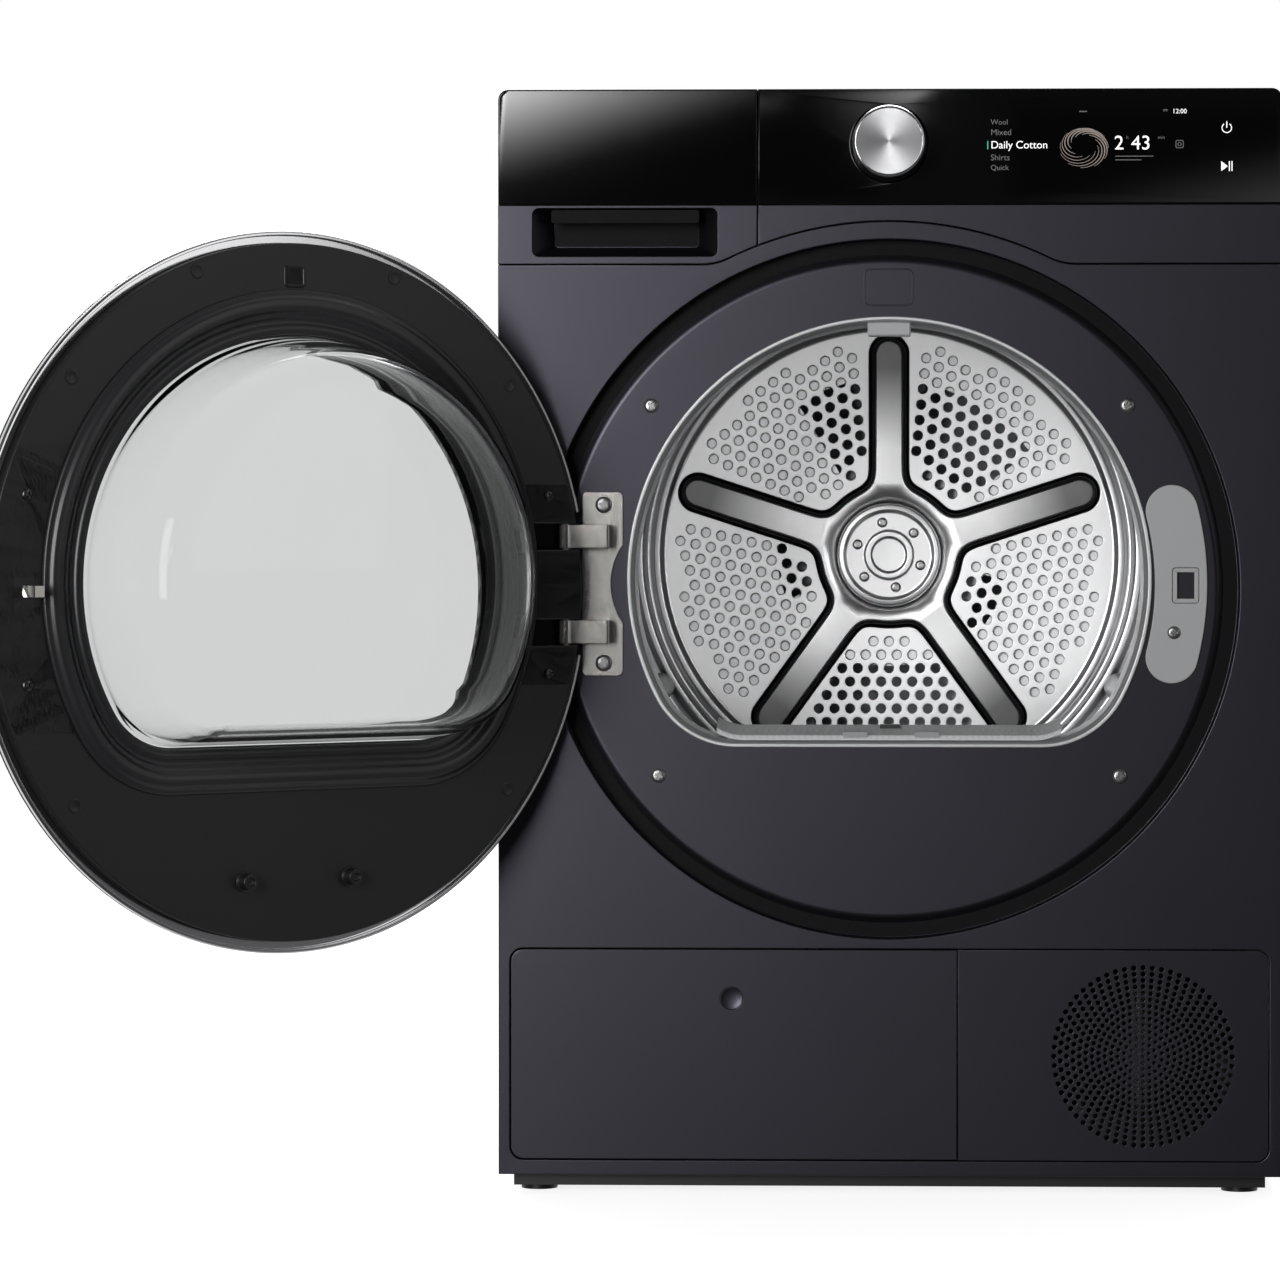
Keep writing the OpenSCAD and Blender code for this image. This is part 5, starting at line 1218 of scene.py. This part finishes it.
door_piece("door_skirt", part_turned(softened(
    [(PANEL_R - 3.0, Y_IN - 2.0), (PANEL_R - 0.2, Y_IN - 1.2), (PANEL_R - 0.2, Y_IN - 11.4),
     (PANEL_R - 3.0, Y_IN - 11.4)], 0.3), 0, DOOR_Z, skirt_angles), panel_black,
    "black_plastic")
ring_metal = finish("door_ring_bright", (0.78, 0.78, 0.79), metal=1.0, rough=0.14, grain=200.0,
                    bump=0.01, vary=0.03)
ring = door_piece("door_trim_ring", part_turned(softened(
    [(DOOR_R - 9.0, Y_IN - 10.5), (DOOR_R - 9.0, Y_IN - 11.5), (DOOR_R - 1.2, Y_IN - 11.5),
     (DOOR_R, Y_IN - 10.3), (DOOR_R, Y_IN - 7.0), (DOOR_R - 1.2, Y_IN - 6.0),
     (DOOR_R - 3.2, Y_IN - 6.0), (DOOR_R - 3.2, Y_IN - 10.5)], 0.5), 0, DOOR_Z, skirt_angles),
    ring_metal, "bright_trim")
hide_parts("door_ring")

seal_black = finish("door_seal_rubber", (0.022, 0.022, 0.024), rough=0.33, grain=900.0,
                    bump=0.06, vary=0.15)
seal_profile = softened([(0.8, Y_IN + 0.2), (0.8, Y_IN + 2.6), (3.5, Y_IN + 3.6),
                         (7.0, Y_IN + 3.8), (9.0, Y_IN + 1.6), (12.0, Y_IN + 1.6),
                         (14.0, Y_IN + 3.9), (17.0, Y_IN + 4.2), (19.0, Y_IN + 6.6),
                         (23.0, Y_IN + 7.1), (27.5, Y_IN + 6.6), (29.5, Y_IN + 4.0),
                         (33.4, Y_IN + 3.2), (34.0, Y_IN + 0.2)], 1.6)
seal = door_piece("door_seal", carried(bowl_line(0.0), seal_profile), seal_black,
                  "rubber_black", crease=60.0)
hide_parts("door_gasket")


def clear_glass(name, tint, rough, ior):
    """Clear pressed glass: it lets light through and reflects at its skins."""
    mat = finish(name, tint, rough=rough, grain=30.0, bump=0.02, vary=0.01)
    shader = mat.node_tree.nodes["Principled BSDF"]
    shader.inputs["Transmission Weight"].default_value = 1.0
    shader.inputs["IOR"].default_value = ior
    return mat


bowl_glass = clear_glass("bowl_glass", (0.97, 0.98, 0.98), 0.01, 1.2)
outside = [(1.0, -3.0), (1.6, 6.0), (4.0, 25.0), (7.0, 44.0), (11.0, 60.0), (15.0, 69.0),
           (20.0, 76.0), (27.0, 81.0), (34.0, 83.6), (40.0, 84.6)]
inside = [(g + 5.2, y - (0.0 if y < 50 else 5.0 * (y - 50) / 35)) for g, y in outside[1:]]
bowl_rings = ([(g, y) for g, y in inside[::-1]] + [(8.0, -3.0), (8.0, -7.0), (-7.6, -7.0),
                                                  (-7.6, -3.0)] + outside)
bowl_points = np.concatenate([np.insert(bowl_line(g), 1, Y_IN + y, axis=1)
                              for g, y in bowl_rings])
bowl_faces = capped(len(bowl_rings), len(bowl_line(0.0)))
bowl = door_piece("door_glass_bowl", (bowl_points, bowl_faces), bowl_glass, "clear_glass",
                  crease=60.0)
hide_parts("door_bowl")
pane_glass = clear_glass("outer_pane_glass", (0.82, 0.82, 0.82), 0.01, 1.46)
pane = door_piece("door_pane", turned(softened(
    [(0.0, Y_IN - DOOR_T), (BOWL_R + 7.7, Y_IN - DOOR_T), (BOWL_R + 7.7, Y_IN - DOOR_T + 4.0),
     (0.0, Y_IN - DOOR_T + 4.0)], [0, 1, 0.5, 0], closed=False), 0, DOOR_Z, 200, closed=False),
    pane_glass, "clear_glass")
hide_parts("door_glass")


def smoothed(name, node, mat, body, crease=28.0):
    """A merged, smooth-shaded copy of a carried-over CAD piece, for its curved faces."""
    source = frame["nodes"][node]
    mesh = source.data.copy()
    bm = bmesh.new()
    bm.from_mesh(mesh)
    bmesh.ops.remove_doubles(bm, verts=bm.verts, dist=1e-6)
    bm.to_mesh(mesh)
    bm.free()
    mesh.materials.clear()
    piece = hang(name, mesh, mat, body, crease)
    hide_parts(node)
    return piece


smoothed("door_dome", "door_cover", black_glass, "door")
smoothed("door_knuckles", "hinge_knuckles", nickel, "door")
smoothed("door_hinge_pins", "hinge_pins", nickel, "door")
smoothed("door_latch_hook", "latch_hook", nickel, "door")
smoothed("lock_cover", "lock_side_cover", panel_black, "door")
smoothed("hinge_cover", "hinge_side_cover", panel_black, "door")

plug_black = finish("plug_black", (0.011, 0.011, 0.0115), rough=0.36, grain=900.0, bump=0.06,
                    vary=0.1)
plug_parts = [turned([(0.0, Y_IN - 1.4), (5.8, Y_IN - 1.4), (5.8, Y_IN - 0.1), (5.2, Y_IN + 0.35),
                      (3.9, Y_IN + 0.35), (3.5, Y_IN + 0.05), (0.0, Y_IN + 0.05)],
                     s * x, DOOR_Z + z, 48, closed=False)
              for s in (-1, 1) for x, z in ((85.0, 233.0), (189.0, 155.0), (187.0, -150.0))]
plug_parts += [turned(softened([(0.0, Y_IN - 0.5), (7.7, Y_IN - 0.5), (7.7, Y_IN + 1.0),
                                (6.4, Y_IN + 1.5), (6.0, Y_IN + 9.0), (3.4, Y_IN + 9.0),
                                (2.6, Y_IN + 7.2), (0.0, Y_IN + 7.2)],
                               [0, 0, 0.6, 0.3, 0.9, 0.4, 0.3, 0], closed=False),
                      s * 45.5, DOOR_Z - 210.0, 48, closed=False) for s in (-1, 1)]
plug_parts.append(carried(round_rect_line(-7.0, DOOR_Z + 223.0, 11.0, DOOR_Z + 240.0, 3.2),
                          [(0.0, Y_IN - 1.4), (0.0, Y_IN + 0.1), (-0.5, Y_IN + 0.6),
                           (-1.6, Y_IN + 0.78), (-2.2, Y_IN + 0.2), (-2.8, Y_IN)],
                          closed=False))
door_plug_set = door_piece("door_plug_set", joined(*plug_parts), plug_black, "rubber_black",
                           crease=40.0)
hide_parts("door_plugs")
door_screw_parts = [screw_head(x, HINGE_Z + z, Y_IN - 0.3, 4.3, t, out=1.0) for (x, z), t in
                    zip([(-DOOR_R + 40, -67.5), (-DOOR_R + 40, 67.5), (DOOR_R - 40, -67.5),
                         (DOOR_R - 40, 67.5)], turns[7:])]
black_zinc = finish("black_zinc", (0.10, 0.10, 0.10), metal=1.0, rough=0.35, grain=500.0,
                    bump=0.05, vary=0.1)
door_screws = door_piece("door_screw_set", joined(*door_screw_parts), black_zinc, "fasteners")
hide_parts("door_screws")


# ---- Machine inside and the back ----
# Galvanised sheet behind and inside, a heat pump with finned aluminium exchangers and copper
# pipe, the motor with its belt, fan and rollers, the tank, the board and the mains inlet.

galvanised = steel("galvanised_sheet", (0.52, 0.54, 0.56), 0.42, 140.0, 0.04, vary=0.16)
recoat(galvanised, "back_panel", "front_bulkhead", "rear_bulkhead", "tank_sleeve")
smoothed("back_duct_cover", "duct_cover", galvanised, "cabinet")
machined = steel("machined_steel", (0.36, 0.37, 0.38), 0.36, 400.0, 0.06)
smoothed("motor_case", "drive_motor", machined, "cabinet")
smoothed("motor_shaft", "drive_shaft", machined, "drive")
smoothed("drum_bearing", "rear_bearing", machined, "cabinet")
smoothed("belt_idler", "idler_pulley", machined, "idler")
fins = steel("aluminium_fins", (0.74, 0.75, 0.76), 0.35, 900.0, 0.3, (1, 0.02, 1))
recoat(fins, "evaporator", "condenser")
copper = steel("copper_pipe", (0.80, 0.42, 0.28), 0.28, 300.0, 0.04)
smoothed("copper_pipes", "refrigerant_pipes", copper, "cabinet")
enamel = finish("compressor_enamel", (0.012, 0.012, 0.013), rough=0.28, grain=300.0, bump=0.08,
                vary=0.1)
smoothed("compressor_can", "compressor", enamel, "cabinet")
recoat(black_plastic, "exchanger_housing", "fan_housing", "fan_impeller", "mains_inlet")
smoothed("belt", "drive_belt", dark_rubber, "cabinet")
smoothed("left_roller", "roller_left", dark_rubber, "roller_l")
smoothed("right_roller", "roller_right", dark_rubber, "roller_r")
felt = finish("grey_felt", (0.55, 0.53, 0.48), rough=0.95, grain=2600.0, bump=0.6, vary=0.12)
recoat(felt, "felt_seals")
board = finish("board_green", (0.02, 0.11, 0.05), rough=0.3, grain=500.0, bump=0.1, vary=0.15)
recoat(board, "control_board")
milky = finish("milky_tank", (0.62, 0.66, 0.69), rough=0.35, grain=500.0, bump=0.04, vary=0.04)
recoat(milky, "water_tank")
